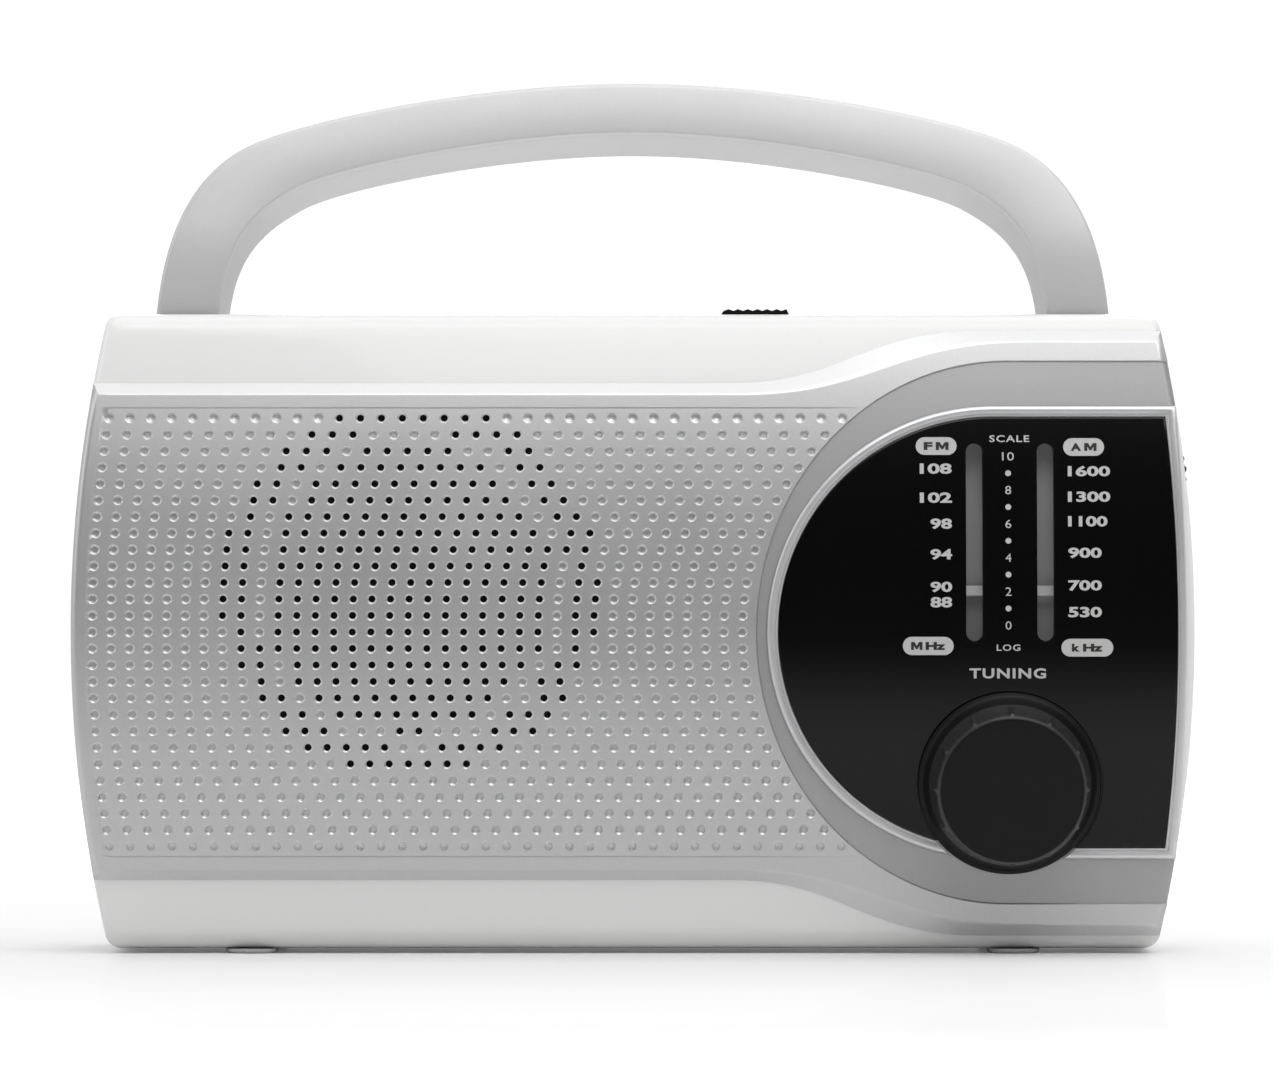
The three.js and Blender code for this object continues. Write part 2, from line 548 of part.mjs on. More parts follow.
const ROD_X = { left: -92, right: 4 };
const FERRITE = { y: -14.3, z: 119.5 };
const ferrite = rod("x", 3.1, ROD_X.left, ROD_X.right, [FERRITE.y, FERRITE.z], 16);
addPart("ferrite_rod", ferrite, finish(0x232323, 0.7));
const coil = rod("x", 3.8, -34, -14, [FERRITE.y, FERRITE.z], 20)
  .subtract(rod("x", 3.2, -FAR, FAR, [FERRITE.y, FERRITE.z], 20));
addPart("antenna_coil", coil, finish(0xa8642f, 0.4, 0.4));

const CORE = { left: -91, right: -64, front: 15, back: 29, low: 12, high: 37 };
const coreMid = (CORE.left + CORE.right) / 2;
let core = box(CORE.left, CORE.right, CORE.front, CORE.back, CORE.low, CORE.high);
for (const side of [-1, 1]) {
  core = core.subtract(box(coreMid + side * 6.5 - 3, coreMid + side * 6.5 + 3, -FAR, FAR,
    CORE.low + 4.5, CORE.high - 4.5));
}
addPart("transformer_core", core, finish(0x4a4b4d, 0.5, 0.7));
const winding = box(coreMid - 9.2, coreMid + 9.2, 10, 34, CORE.low + 5, CORE.high - 5)
  .subtract(box(coreMid - 3.8, coreMid + 3.8, CORE.front - FIT, CORE.back + FIT, 0, FAR));
addPart("transformer_winding", winding, finish(0xc9b23a, 0.5));

// ---- Switch, headphone socket and mains inlet -------------------------------------------------
const switchTop = BODY_TOP - WALL - 0.1;
const switchBody = box(SWITCH.left - 1, SWITCH.right + 1, -15.9, -10.4, switchTop - 6, switchTop - 0.6);
const switchTrack = box(SWITCH.left + 1, SWITCH.right - 1, -15, -12.2, switchTop - 4, FAR);
addPart("band_switch_body", switchBody.subtract(switchTrack), STEEL);
const thumb = box(18, 32, SWITCH.y - 1.9, SWITCH.y + 1.9, switchTop, BODY_TOP + 1.1)
  .add(box(23, 27, -14.6, -12.6, switchTop - 3.6, switchTop + 1));
addPart("band_switch_slider", thumb, BLACK_SATIN);

const jack = box(-108, -96, JACK.y - 5, JACK.y + 5, JACK.z - 5, JACK.z + 5)
  .subtract(rod("x", 1.8, -FAR, -98, [JACK.y, JACK.z], 16));
addPart("headphone_jack", jack, finish(0x151515, 0.4));

const SOCKET_FLOOR = 27;
let inlet = box(INLET.x - 8.3, INLET.x + 8.3, 20, BACK - 0.6, INLET.z - 4.5, INLET.z + 4.5);
let socket = box(INLET.x - 4.3, INLET.x + 4.3, SOCKET_FLOOR, FAR, INLET.z - 3.7, INLET.z + 3.7);
for (const side of [-1, 1]) {
  socket = socket.add(rod("y", 3.7, SOCKET_FLOOR, FAR, [INLET.x + side * 4, INLET.z], 20));
}
inlet = inlet.subtract(socket);
[-1, 1].forEach((side, i) => {
  const place = [INLET.x + side * 4.3, INLET.z];
  inlet = inlet.subtract(rod("y", 1.25, 0, FAR, place, 12));
  addPart(`inlet_pin_${i + 1}`, rod("y", 1.15, 17, 38.5, place, 12), STEEL);
});
addPart("mains_inlet", inlet, finish(0x121212, 0.4));

// ---- Battery compartment ---------------------------------------------------------------------
const fingerGrip = box(-16, 4, BACK - 0.9, FAR, DOOR.high - 6, DOOR.high - 3);
const hingeRelief = box(-FAR, FAR, 0, BACK - 1.2, 0, DOOR.low + 0.8);
addPart("battery_door", box(DOOR.left, DOOR.right, BACK - DOOR.thickness, BACK, DOOR.low, DOOR.high)
  .subtract(fingerGrip).subtract(hingeRelief), WHITE_PLASTIC);

class SpringPath extends THREE.Curve {
  getPoint(t, target = new THREE.Vector3()) {
    const turns = 3.5;
    const angle = t * turns * 2 * Math.PI;
    const radius = 6 - 2.5 * t;
    return target.set(5 * t, radius * Math.cos(angle), radius * Math.sin(angle));
  }
}
const wireSection = new THREE.Shape();
wireSection.moveTo(0.45, 0);
for (let i = 1; i < 5; i += 1) {
  const turn = i * 2 * Math.PI / 5;
  wireSection.lineTo(0.45 * Math.cos(turn), 0.45 * Math.sin(turn));
}
const cells = [WELL.low + 13.2, WELL.high - 13.2];
cells.forEach((z, i) => {
  const coilSweep = { steps: 42, extrudePath: new SpringPath(), bevelEnabled: false };
  const wire = new THREE.ExtrudeGeometry(wireSection, coilSweep);
  const spring = addPart(`battery_spring_${i + 1}`, solidOf(wire), STEEL);
  spring.position.set(WELL.left + 0.8, (WELL.front + BACK - DOOR.thickness) / 2, z);
});
const contactPlate = box(WELL.right - 0.8, WELL.right - 0.1, 18, 32, WELL.low + 4, WELL.high - 4);
addPart("battery_contact_plate", contactPlate, STEEL);

// ---- Handle ------------------------------------------------------------------------------------
// Each edge of the arch is two curves from the foot of a leg to the crown: foot, two pulls,
// shoulder, two pulls, crown.
const ARCH = {
  outer: [[98.4, 117], [98.4, 141.5], [93.3, 159.1],
    [78.1, 166.1], [66.9, 171.1], [32.4, 178.7], [0, 178.7]],
  inner: [[85.3, 117], [85.3, 140.3], [83.1, 149.4],
    [69, 157], [61.9, 160.7], [28.4, 168.4], [0, 168.4]],
  innerRear: [[84.7, 117], [84.7, 138.8], [81.9, 147.6],
    [67.7, 155.1], [60.6, 158.9], [28.4, 166.2], [0, 166.2]],
};

// A point of an edge, with travel from -1 (left foot) through 0 (crown) to 1 (right foot).
function archPoint(edge, travel) {
  const [foot, footPull, shoulderPull, shoulder, crownSidePull, crownPull, crown] =
    edge.map((pair) => new THREE.Vector2(...pair));
  const climb = 1 - Math.abs(travel);
  const leg = new THREE.CubicBezierCurve(foot, footPull, shoulderPull, shoulder);
  const top = new THREE.CubicBezierCurve(shoulder, crownSidePull, crownPull, crown);
  const point = climb < 0.5 ? leg.getPoint(2 * climb) : top.getPoint(2 * climb - 1);
  if (travel < 0) point.x = -point.x;
  return point;
}

// The legs are upright and the arch leans back above them, through a bend of this radius.
const UPRIGHT_TO = 138;
const LEAN_BEND = 60;

function lean(z) {
  const bendHeight = 12;
  const above = Math.max(z - UPRIGHT_TO, 0);
  if (above < bendHeight) return above ** 2 / (2 * LEAN_BEND);
  return bendHeight ** 2 / (2 * LEAN_BEND) + (above - bendHeight) * (bendHeight / LEAN_BEND);
}

// The front face also curves back towards the foot of each leg.
function tuck(z) {
  return Math.min(z - UPRIGHT_TO, 0) ** 2 / (2 * LEAN_BEND);
}

// Sweeps a U-shaped shell along the arch: open towards the seam, its web on the outer face.
function handleShell(face, seam, innerEdge) {
  const wall = 2.2;
  const steps = 36;
  const web = face + Math.sign(seam - face) * wall;
  const positions = [];
  for (let i = 0; i <= steps; i += 1) {
    const travel = -1 + 2 * (i / steps);
    const outer = archPoint(ARCH.outer, travel);
    const innerFace = archPoint(innerEdge, travel);
    const innerSeam = archPoint(ARCH.inner, travel);
    const across = outer.clone().sub(innerSeam).normalize().multiplyScalar(wall);
    const outerWall = outer.clone().sub(across);
    const innerWall = innerSeam.clone().add(across);
    const section = [
      [outer, face], [outer, seam], [outerWall, seam], [outerWall, web],
      [innerWall, web], [innerWall, seam], [innerSeam, seam], [innerFace, face],
    ];
    for (const [point, y] of section) {
      const curl = y < HANDLE_SEAM - 1 ? tuck(point.y) : 0;
      positions.push(point.x, PIVOT.y + y + lean(point.y) + curl, point.y);
    }
  }
  const count = 8;
  const index = [];
  for (let i = 0; i < steps; i += 1) {
    for (let k = 0; k < count; k += 1) {
      const a = i * count + k;
      const b = i * count + (k + 1) % count;
      index.push(a, b, b + count, a, b + count, a + count);
    }
  }
  const cap = [[0, 1, 2], [0, 2, 3], [0, 3, 4], [0, 4, 7], [7, 4, 5], [7, 5, 6]];
  const last = steps * count;
  for (const [a, b, c] of cap) {
    index.push(a, c, b);
    index.push(last + a, last + b, last + c);
  }
  const geometry = new THREE.BufferGeometry();
  geometry.setAttribute("position", new THREE.Float32BufferAttribute(positions, 3));
  geometry.setIndex(index);
  return solidOf(geometry);
}

// The rear lower corner of each leg is rounded about the pivot, so that the handle can fold.
const legCorner = box(-FAR, FAR, PIVOT.y, PIVOT.y + 30, 100, PIVOT.z)
  .subtract(rod("x", HANDLE_REAR + 0.2, -FAR, FAR, [PIVOT.y, PIVOT.z], 32));
const pinBore = rod("x", 2.3, -FAR, FAR, [PIVOT.y, PIVOT.z], 12);
addPart("handle_front_shell", handleShell(HANDLE_FRONT, HANDLE_SEAM - HAIR, ARCH.inner), SILVER_PAINT);
const rearShell = handleShell(HANDLE_REAR, HANDLE_SEAM + HAIR, ARCH.innerRear);
addPart("handle_rear_shell", rearShell.subtract(legCorner).subtract(pinBore), SILVER_PAINT);
addPart("handle_pin_left", rod("x", 2, -103, -80, [PIVOT.y, PIVOT.z], 12), STEEL);
addPart("handle_pin_right", rod("x", 2, 80, 103, [PIVOT.y, PIVOT.z], 12), STEEL);

// ---- Telescopic antenna ------------------------------------------------------------------------
const swivel = rod("z", 2.5, LEDGE_TOP - 5, LEDGE_TOP + 0.4, [MAST.x, MAST.y], 16)
  .add(rod("z", 3.9, LEDGE_TOP + 0.3, MAST.z + 3, [MAST.x, MAST.y], 20))
  .subtract(box(MAST.x - 5, MAST.x + 5, MAST.y - 1.6, MAST.y + 1.6, LEDGE_TOP + 1.2, FAR));
addPart("antenna_swivel", swivel, STEEL);
const TUBE_END = MAST.x - 5.4;
const ANTENNA_LENGTH = 150;
const knuckle = box(TUBE_END - 2, MAST.x, MAST.y - 1.3, MAST.y + 1.3, MAST.z - 2.6, MAST.z + 2.6)
  .add(rod("y", 2.6, MAST.y - 1.3, MAST.y + 1.3, [MAST.x, MAST.z], 20));
const onMast = [MAST.y, MAST.z];
const tubes = [
  { outer: 3, inner: 2.6 },
  { outer: 2.5, inner: 2.1 },
  { outer: 2, inner: 1.6 },
  { outer: 1.5, inner: 0 },
];
tubes.forEach(({ outer, inner }, i) => {
  const start = TUBE_END - ANTENNA_LENGTH - i * 1.2;
  const end = TUBE_END - 1.5 - i * 1.5;
  let tube = rod("x", outer, start, end, onMast, 12);
  if (inner > 0) tube = tube.subtract(rod("x", inner, -FAR, end - 1.1, onMast, 12));
  if (i === 0) tube = tube.add(knuckle);
  if (i === tubes.length - 1) tube = tube.add(rod("x", 3, start - 4, start + 0.1, onMast, 16));
  addPart(`antenna_section_${i + 1}`, tube, STEEL);
});

// ---- Feet and case screws --------------------------------------------------------------------------
let footNumber = 0;
for (const x of [-77.8, 77.8]) {
  for (const y of [-13, 28]) {
    footNumber += 1;
    addPart(`foot_${footNumber}`, rod("z", 5.4, 0, BODY_BOTTOM - HAIR, [x, y], 20), RUBBER);
  }
}
SCREWS.forEach(([x, z], i) => {
  const screw = turned([[0, PARTING - 10], [1.4, PARTING - 10], [1.4, PARTING + 4.1], [3.1, PARTING + 4.1],
    [3.1, PARTING + 6.3], [0, PARTING + 6.3]], x, z, 12);
  addPart(`case_screw_${i + 1}`, screw, STEEL);
});

export default radio;
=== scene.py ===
import json
import math

import bmesh
import bpy
from mathutils import Matrix, Vector
from mathutils.geometry import delaunay_2d_cdt


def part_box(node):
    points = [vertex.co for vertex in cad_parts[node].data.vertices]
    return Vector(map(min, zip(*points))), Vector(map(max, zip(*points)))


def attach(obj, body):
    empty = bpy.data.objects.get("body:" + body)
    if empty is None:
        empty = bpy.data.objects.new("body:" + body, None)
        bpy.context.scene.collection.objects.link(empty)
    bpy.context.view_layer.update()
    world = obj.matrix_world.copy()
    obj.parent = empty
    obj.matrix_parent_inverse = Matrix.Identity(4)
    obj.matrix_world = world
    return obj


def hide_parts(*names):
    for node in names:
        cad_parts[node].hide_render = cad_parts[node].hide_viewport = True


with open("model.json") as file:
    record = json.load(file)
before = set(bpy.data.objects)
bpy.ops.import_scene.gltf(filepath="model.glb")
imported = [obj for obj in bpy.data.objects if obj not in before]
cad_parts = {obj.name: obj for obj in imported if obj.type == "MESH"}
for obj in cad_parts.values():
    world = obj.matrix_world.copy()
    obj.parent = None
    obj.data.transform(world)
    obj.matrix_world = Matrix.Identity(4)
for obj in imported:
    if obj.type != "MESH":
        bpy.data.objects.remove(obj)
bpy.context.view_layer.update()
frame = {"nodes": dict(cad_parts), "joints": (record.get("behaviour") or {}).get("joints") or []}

# ---- Camera ---------------------------------------------------------------------------------
# A long lens square to the front of the radio, with the eye a little above the tuning knob.
# The frame is raised by a small shift, so that upright edges stay upright.
MM = 0.001
view_width = 0.2577
view_middle = Vector((0.0008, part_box("grille_panel")[0].y, 0.0841))
eye_distance = 1.6
eye_height = 0.058
camera_data = bpy.data.cameras.new("camera")
camera_data.sensor_width = 36
camera_data.lens = camera_data.sensor_width * eye_distance / view_width
camera_data.shift_y = (view_middle.z - eye_height) / view_width
camera = bpy.data.objects.new("camera", camera_data)
camera.location = (view_middle.x, view_middle.y - eye_distance, eye_height)
camera.rotation_euler = (math.pi / 2, 0, 0)
bpy.context.scene.collection.objects.link(camera)
bpy.context.scene.camera = camera
bpy.context.scene.view_settings.view_transform = "Standard"

# ---- Studio ---------------------------------------------------------------------------------
# A white sweep: soft boxes above, in front, at the left and behind, a darker room at the camera's
# back, and a sheet of white acrylic that reflects the radio faintly. The sheet carries painted
# light: a glow that only the camera sees, weakest near the radio, and a painted shade towards
# the front that only reflections see.
world = bpy.data.worlds.new("studio")
bpy.context.scene.world = world
world.use_nodes = True
sky = world.node_tree
sky.nodes.clear()


def sky_node(kind, **settings):
    node = sky.nodes.new(kind)
    for name, value in settings.items():
        setattr(node, name, value)
    return node


def set_range(node, from_low, from_high, to_low, to_high):
    """Sets which values a range node takes in, and what it gives back for them."""
    for name, value in (("From Min", from_low), ("From Max", from_high), ("To Min", to_low),
                        ("To Max", to_high)):
        node.inputs[name].default_value = value


def math_node(tree, operation, *values):
    """A sum on numbers and on the outputs of other nodes."""
    node = tree.nodes.new("ShaderNodeMath")
    node.operation = operation
    for socket, value in zip(node.inputs, values):
        if isinstance(value, (int, float)):
            socket.default_value = value
        else:
            tree.links.new(value, socket)
    return node.outputs[0]


direction = sky_node("ShaderNodeTexCoord")
axes = sky_node("ShaderNodeSeparateXYZ")
sky.links.new(direction.outputs["Generated"], axes.inputs[0])
overhead = sky_node("ShaderNodeMapRange", interpolation_type="SMOOTHSTEP")
set_range(overhead, 0.18, 0.75, 0.0, 0.50)
sky.links.new(axes.outputs["Z"], overhead.inputs["Value"])
behind = sky_node("ShaderNodeMapRange", interpolation_type="SMOOTHSTEP")
set_range(behind, -0.75, 0.35, 0.05, 0.70)
sky.links.new(axes.outputs["Y"], behind.inputs["Value"])
brighter = math_node(sky, "MAXIMUM", overhead.outputs["Result"], behind.outputs["Result"])
ray = sky_node("ShaderNodeLightPath")
seen = sky_node("ShaderNodeMix", data_type="FLOAT")
sky.links.new(ray.outputs["Is Camera Ray"], seen.inputs["Factor"])
sky.links.new(brighter, seen.inputs["A"])
seen.inputs["B"].default_value = 1.05
glow = sky_node("ShaderNodeBackground")
glow.inputs["Color"].default_value = (1, 1, 1, 1)
sky.links.new(seen.outputs["Result"], glow.inputs["Strength"])
sky_out = sky_node("ShaderNodeOutputWorld")
sky.links.new(glow.outputs[0], sky_out.inputs["Surface"])


def soft_box(name, place, aim, width, height, power):
    """A rectangular lamp that faces the point it aims at."""
    lamp = bpy.data.lights.new(name, "AREA")
    lamp.shape = "RECTANGLE"
    lamp.size = width
    lamp.size_y = height
    lamp.energy = power
    box = bpy.data.objects.new(name, lamp)
    box.location = place
    box.rotation_euler = (Vector(aim) - Vector(place)).to_track_quat("-Z", "Y").to_euler()
    bpy.context.scene.collection.objects.link(box)


radio_middle = (0, 0, 0.09)
soft_box("top_box", (0.10, -0.15, 1.25), radio_middle, 1.6, 1.1, 7)
soft_box("front_box", (0.35, -1.05, 1.15), radio_middle, 1.3, 0.8, 9)
soft_box("left_box", (-1.3, -0.5, 0.7), radio_middle, 0.8, 1.0, 3)
soft_box("back_box", (0.2, 1.3, 0.9), radio_middle, 1.4, 0.9, 8)

floor_mesh = bpy.data.meshes.new("floor")
reach = 2.5
floor_mesh.from_pydata([(-reach, -reach, 0), (reach, -reach, 0), (reach, reach, 0), (-reach, reach, 0)],
                       [], [(0, 1, 2, 3)])
floor = bpy.data.objects.new("floor", floor_mesh)
bpy.context.scene.collection.objects.link(floor)
acrylic = bpy.data.materials.new("white_acrylic")
acrylic.use_nodes = True
sheet = acrylic.node_tree
sheet.nodes.clear()
matt = sheet.nodes.new("ShaderNodeBsdfDiffuse")
place = sheet.nodes.new("ShaderNodeTexCoord")
depth = sheet.nodes.new("ShaderNodeSeparateXYZ")
# Painted shade in reflections: to glossy rays the sheet darkens towards the front (colour 0.8 down to 0.12),
# while other rays see it evenly at 0.8.
fade = sheet.nodes.new("ShaderNodeMapRange")
fade.interpolation_type = "SMOOTHSTEP"
set_range(fade, -1.1, -0.1, 0.12, 0.8)
sheet.links.new(place.outputs["Object"], depth.inputs[0])
sheet.links.new(depth.outputs["Y"], fade.inputs["Value"])
mirrored = sheet.nodes.new("ShaderNodeMix")
mirrored.inputs["A"].default_value = 0.8
sheet.links.new(fade.outputs["Result"], mirrored.inputs["B"])
sheet.links.new(mirrored.outputs["Result"], matt.inputs["Color"])
shiny = sheet.nodes.new("ShaderNodeBsdfGlossy")
shiny.inputs["Roughness"].default_value = 0.03
blend = sheet.nodes.new("ShaderNodeMixShader")
blend.inputs["Fac"].default_value = 0.2
# Painted glow: an emission seen only by camera rays, weak near the radio and full further out, so the sheet
# reads darker round the radio's foot.
lift = sheet.nodes.new("ShaderNodeEmission")
path = sheet.nodes.new("ShaderNodeLightPath")
sheet.links.new(path.outputs["Is Glossy Ray"], mirrored.inputs["Factor"])
distance = sheet.nodes.new("ShaderNodeVectorMath")
distance.operation = "LENGTH"
sheet.links.new(place.outputs["Object"], distance.inputs[0])
away = sheet.nodes.new("ShaderNodeMapRange")
set_range(away, 0.35, 1.2, 0.08, 1.0)
sheet.links.new(distance.outputs["Value"], away.inputs["Value"])
amount = math_node(sheet, "MULTIPLY", path.outputs["Is Camera Ray"], away.outputs["Result"])
plus = sheet.nodes.new("ShaderNodeAddShader")
floor_out = sheet.nodes.new("ShaderNodeOutputMaterial")
sheet.links.new(amount, lift.inputs["Strength"])
sheet.links.new(matt.outputs[0], blend.inputs[1])
sheet.links.new(shiny.outputs[0], blend.inputs[2])
sheet.links.new(blend.outputs[0], plus.inputs[0])
sheet.links.new(lift.outputs[0], plus.inputs[1])
sheet.links.new(plus.outputs[0], floor_out.inputs["Surface"])
floor_mesh.materials.append(acrylic)

# ---- Front cabinet --------------------------------------------------------------------------
# The white front half of the case: one glossy ABS moulding with barrel ends, a shallow curved
# face, a rim along the top and a low deck behind it. Four screws hold it to the rear cover.
# From here on, sizes are in millimetres.
front_low, front_high = (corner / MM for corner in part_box("front_cabinet"))
half_width = front_high.x
bottom, top = front_low.z, front_high.z
middle = (bottom + top) / 2
end_radius = 298
face_radius = 240
face_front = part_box("grille_panel")[0].y / MM
band_setback = 1.6
wall = 2.2
parting = front_high.y
rim_back = -8
deck = 116.5
ledge_front, ledge = 33, 107
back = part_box("rear_cover")[1].y / MM
pivot_y, pivot_z = 6, 124.5


def side_x(z, inset=0):
    """Half the width of the barrel at a height."""
    return half_width - end_radius + math.sqrt((end_radius - inset) ** 2 - (z - middle) ** 2)


def face_y(z, behind=0.0):
    """How far forward the curved face lies at a height."""
    return face_front + behind + face_radius - math.sqrt(face_radius ** 2 - (z - middle) ** 2)


def barrel(inset, low, high, corner, along=30, around=5):
    """The case's outline, seen from the front, as points on the right and then the left side."""
    right = []
    for i in range(around + 1):
        turn = math.pi / 2 * i / around
        z = low + corner * (1 - math.cos(turn))
        right.append((side_x(z, inset) - corner * (1 - math.sin(turn)), z))
    for i in range(1, along):
        z = low + corner + (high - low - 2 * corner) * i / along
        right.append((side_x(z, inset), z))
    for i in range(around + 1):
        turn = math.pi / 2 * (1 - i / around)
        z = high - corner * (1 - math.cos(turn))
        right.append((side_x(z, inset) - corner * (1 - math.sin(turn)), z))
    return right + [(-x, z) for x, z in reversed(right)]


def edge_radii(count, bottom_radius, end, top_radius, around=5):
    """The rounding at each point of the outline: one size at the ends, others above and below."""
    half = count // 2
    right = []
    for i in range(half):
        low_share = max(0, 1 - i / around)
        high_share = max(0, 1 - (half - 1 - i) / around)
        right.append(end + (bottom_radius - end) * low_share + (top_radius - end) * high_share)
    return right + right[::-1]


def skin(rings):
    """Faces that join rings of equal length, each one closed."""
    faces = []
    count = len(rings[0])
    for k in range(len(rings) - 1):
        for i in range(count):
            j = (i + 1) % count
            faces.append((k * count + i, k * count + j, (k + 1) * count + j, (k + 1) * count + i))
    return faces


def ladder(count, start):
    """Fills a ring whose right side mirrors its left side, one strip at a time."""
    half = count // 2
    return [(start + i, start + i + 1, start + count - 2 - i, start + count - 1 - i)
            for i in range(half - 1)]


def capped(rings):
    """The skin of a bar, with a flat face at either end."""
    count = len(rings[0])
    last = (len(rings) - 1) * count
    return skin(rings) + [tuple(range(count)), tuple(range(last, last + count))]


def mirrored(rings):
    """The skin of half the case, with its front and back filled strip by strip."""
    count = len(rings[0])
    return skin(rings) + ladder(count, 0) + ladder(count, (len(rings) - 1) * count)


def mesh_piece(name, points, faces, sharp=35):
    """A piece from points in millimetres, with its faces turned outwards and its edges crisp."""
    mesh = bpy.data.meshes.new(name)
    mesh.from_pydata([(x * MM, y * MM, z * MM) for x, y, z in points], [], faces)
    shape = bmesh.new()
    shape.from_mesh(mesh)
    bmesh.ops.remove_doubles(shape, verts=shape.verts, dist=1e-7)
    bmesh.ops.recalc_face_normals(shape, faces=shape.faces)
    shape.to_mesh(mesh)
    shape.free()
    mesh.shade_smooth()
    mesh.set_sharp_from_angle(angle=math.radians(sharp))
    piece = bpy.data.objects.new(name, mesh)
    bpy.context.scene.collection.objects.link(piece)
    return piece


def swept(name, rings, sharp=35, ends=capped):
    """A piece that runs through rings of points."""
    return mesh_piece(name, [point for ring in rings for point in ring], ends(rings), sharp)


def block(x0, x1, y0, y1, z0, z1):
    """A square-edged cutter between two values along each axis."""
    points = [(x, y, z) for x in (x0, x1) for y in (y0, y1) for z in (z0, z1)]
    faces = [(0, 1, 3, 2), (4, 6, 7, 5), (0, 4, 5, 1), (2, 3, 7, 6), (0, 2, 6, 4), (1, 5, 7, 3)]
    return mesh_piece("cutter", points, faces)


def prism(outline, axis, start, end):
    """A bar with the given section along "x", "y" or "z"."""
    return swept("cutter", [[{"x": (level, a, b), "y": (a, level, b), "z": (a, b, level)}[axis]
                             for a, b in outline] for level in (start, end)])


def round_outline(a, b, radius, other=None, steps=48):
    """A circle or ellipse about a centre, as points."""
    other = other or radius
    return [(a + radius * math.cos(2 * math.pi * i / steps), b + other * math.sin(2 * math.pi * i / steps))
            for i in range(steps)]


tuning_joint = next(joint for joint in frame["joints"] if joint["name"] == "tuning_turn")
knob_axis = Vector(tuning_joint["axis"])
knob_place = (Matrix.Translation(Vector(tuning_joint["pos_m"]))
              @ Vector((0, 1, 0)).rotation_difference(knob_axis).to_matrix().to_4x4())


def knob_drill(radius, start, end, steps=96):
    """A round cutter along the tilted axis of the tuning knob."""
    cutter = prism(round_outline(0, 0, radius, steps=steps), "y", start, end)
    cutter.data.transform(knob_place)
    return cutter


def carve(piece, *cutters, operation="DIFFERENCE", sharp=35):
    """Cuts each cutter out of the piece, or joins it on, and throws the cutter away."""
    for cutter in cutters:
        change = piece.modifiers.new("carve", "BOOLEAN")
        change.operation = operation
        change.solver = "EXACT"
        change.object = cutter
        result = bpy.data.meshes.new_from_object(piece.evaluated_get(bpy.context.evaluated_depsgraph_get()))
        piece.modifiers.clear()
        piece.data = result
        bpy.data.objects.remove(cutter)
    piece.data.shade_smooth()
    piece.data.set_sharp_from_angle(angle=math.radians(sharp))
    return piece


def front_block(inset, name):
    """The solid form of the front half, every wall moved in by the inset."""
    low, high, corner = bottom + inset, top - inset, 2.4
    bottom_round, end_round, top_round = 4.5, 1.7, 3.0
    steps = 7
    rings = []
    for k in range(steps + 1):
        turn = math.pi / 2 * k / steps
        hold = 1 - math.sin(turn)
        ring = barrel(inset + end_round * hold, low + bottom_round * hold, high - top_round * hold, corner)
        radii = edge_radii(len(ring), bottom_round, end_round, top_round)
        rings.append([(x, face_y(z, band_setback + inset) + radius * (1 - math.cos(turn)), z)
                      for (x, z), radius in zip(ring, radii)])
    rings.append([(x, parting if inset == 0 else parting + 1, z) for x, y, z in rings[-1]])
    return swept(name, rings, ends=mirrored)


front_cabinet = front_block(0, "front_cabinet_moulding")
cavity = front_block(wall, "cutter")
far = 200
carve(cavity, block(-far, far, rim_back - wall, far, deck - wall, far))
carve(front_cabinet, cavity, block(-far, far, rim_back, far, deck, far))
lug_places = [(-103.2, -99.3), (-84, -79.9), (79.9, 84), (99.3, 103.2)]


def lug_outline(inset):
    """A lug's side view: a tapered ear, round about the handle's pivot."""
    steps = 16
    ear = [(pivot_y + (4.5 - inset) * math.cos(math.pi * i / steps),
            pivot_z + (4.5 - inset) * math.sin(math.pi * i / steps)) for i in range(steps + 1)]
    return [(pivot_y + 5 - inset, deck - 1.0), *ear, (pivot_y - 5 + inset, deck - 1.0)]


def lug(left, right):
    """An ear with its edges eased."""
    ease = 0.5
    rings = []
    for x, inset in ((left, ease), (left + ease * 0.3, ease * 0.3), (left + ease, 0), (right - ease, 0),
                     (right - ease * 0.3, ease * 0.3), (right, ease)):
        rings.append([(x, y, z) for y, z in lug_outline(inset)])
    return swept("cutter", rings)


for left, right in lug_places:
    ear = carve(lug(left, right), block(-far, far, parting, far, 0, far))
    carve(front_cabinet, ear, operation="UNION")
pin_hole, spindle_hole, speaker_hole = 2.05, 5.2, 41
pivot_hole = prism(round_outline(pivot_y, pivot_z, pin_hole, steps=24), "x", -far, far)
speaker_x, speaker_z = -45.2, 74.3
speaker_opening = prism(round_outline(speaker_x, speaker_z, speaker_hole, steps=64), "y", -far, 0)
wheel_low, wheel_high = (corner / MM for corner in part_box("volume_thumbwheel"))
wheel_x, wheel_z = (wheel_low.x + wheel_high.x) / 2, (wheel_low.z + wheel_high.z) / 2
wheel_slot = prism(round_outline(wheel_x, wheel_z, 11.7), "y", wheel_low.y - 0.6, wheel_high.y + 0.6)
carve(wheel_slot, block(-far, 96, -far, far, 0, far))
slider_low, slider_high = (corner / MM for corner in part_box("band_switch_slider"))
slot_left, slot_right = 12.7, 37.3
switch_slot = block(slot_left, slot_right, slider_low.y - 0.3, slider_high.y + 0.3, top - 5, far)
works_opening = block(62, 88, -far, 0, 60, 109.5)
carve(front_cabinet, pivot_hole, speaker_opening, wheel_slot, switch_slot, knob_drill(spindle_hole, -10, 8),
      works_opening)


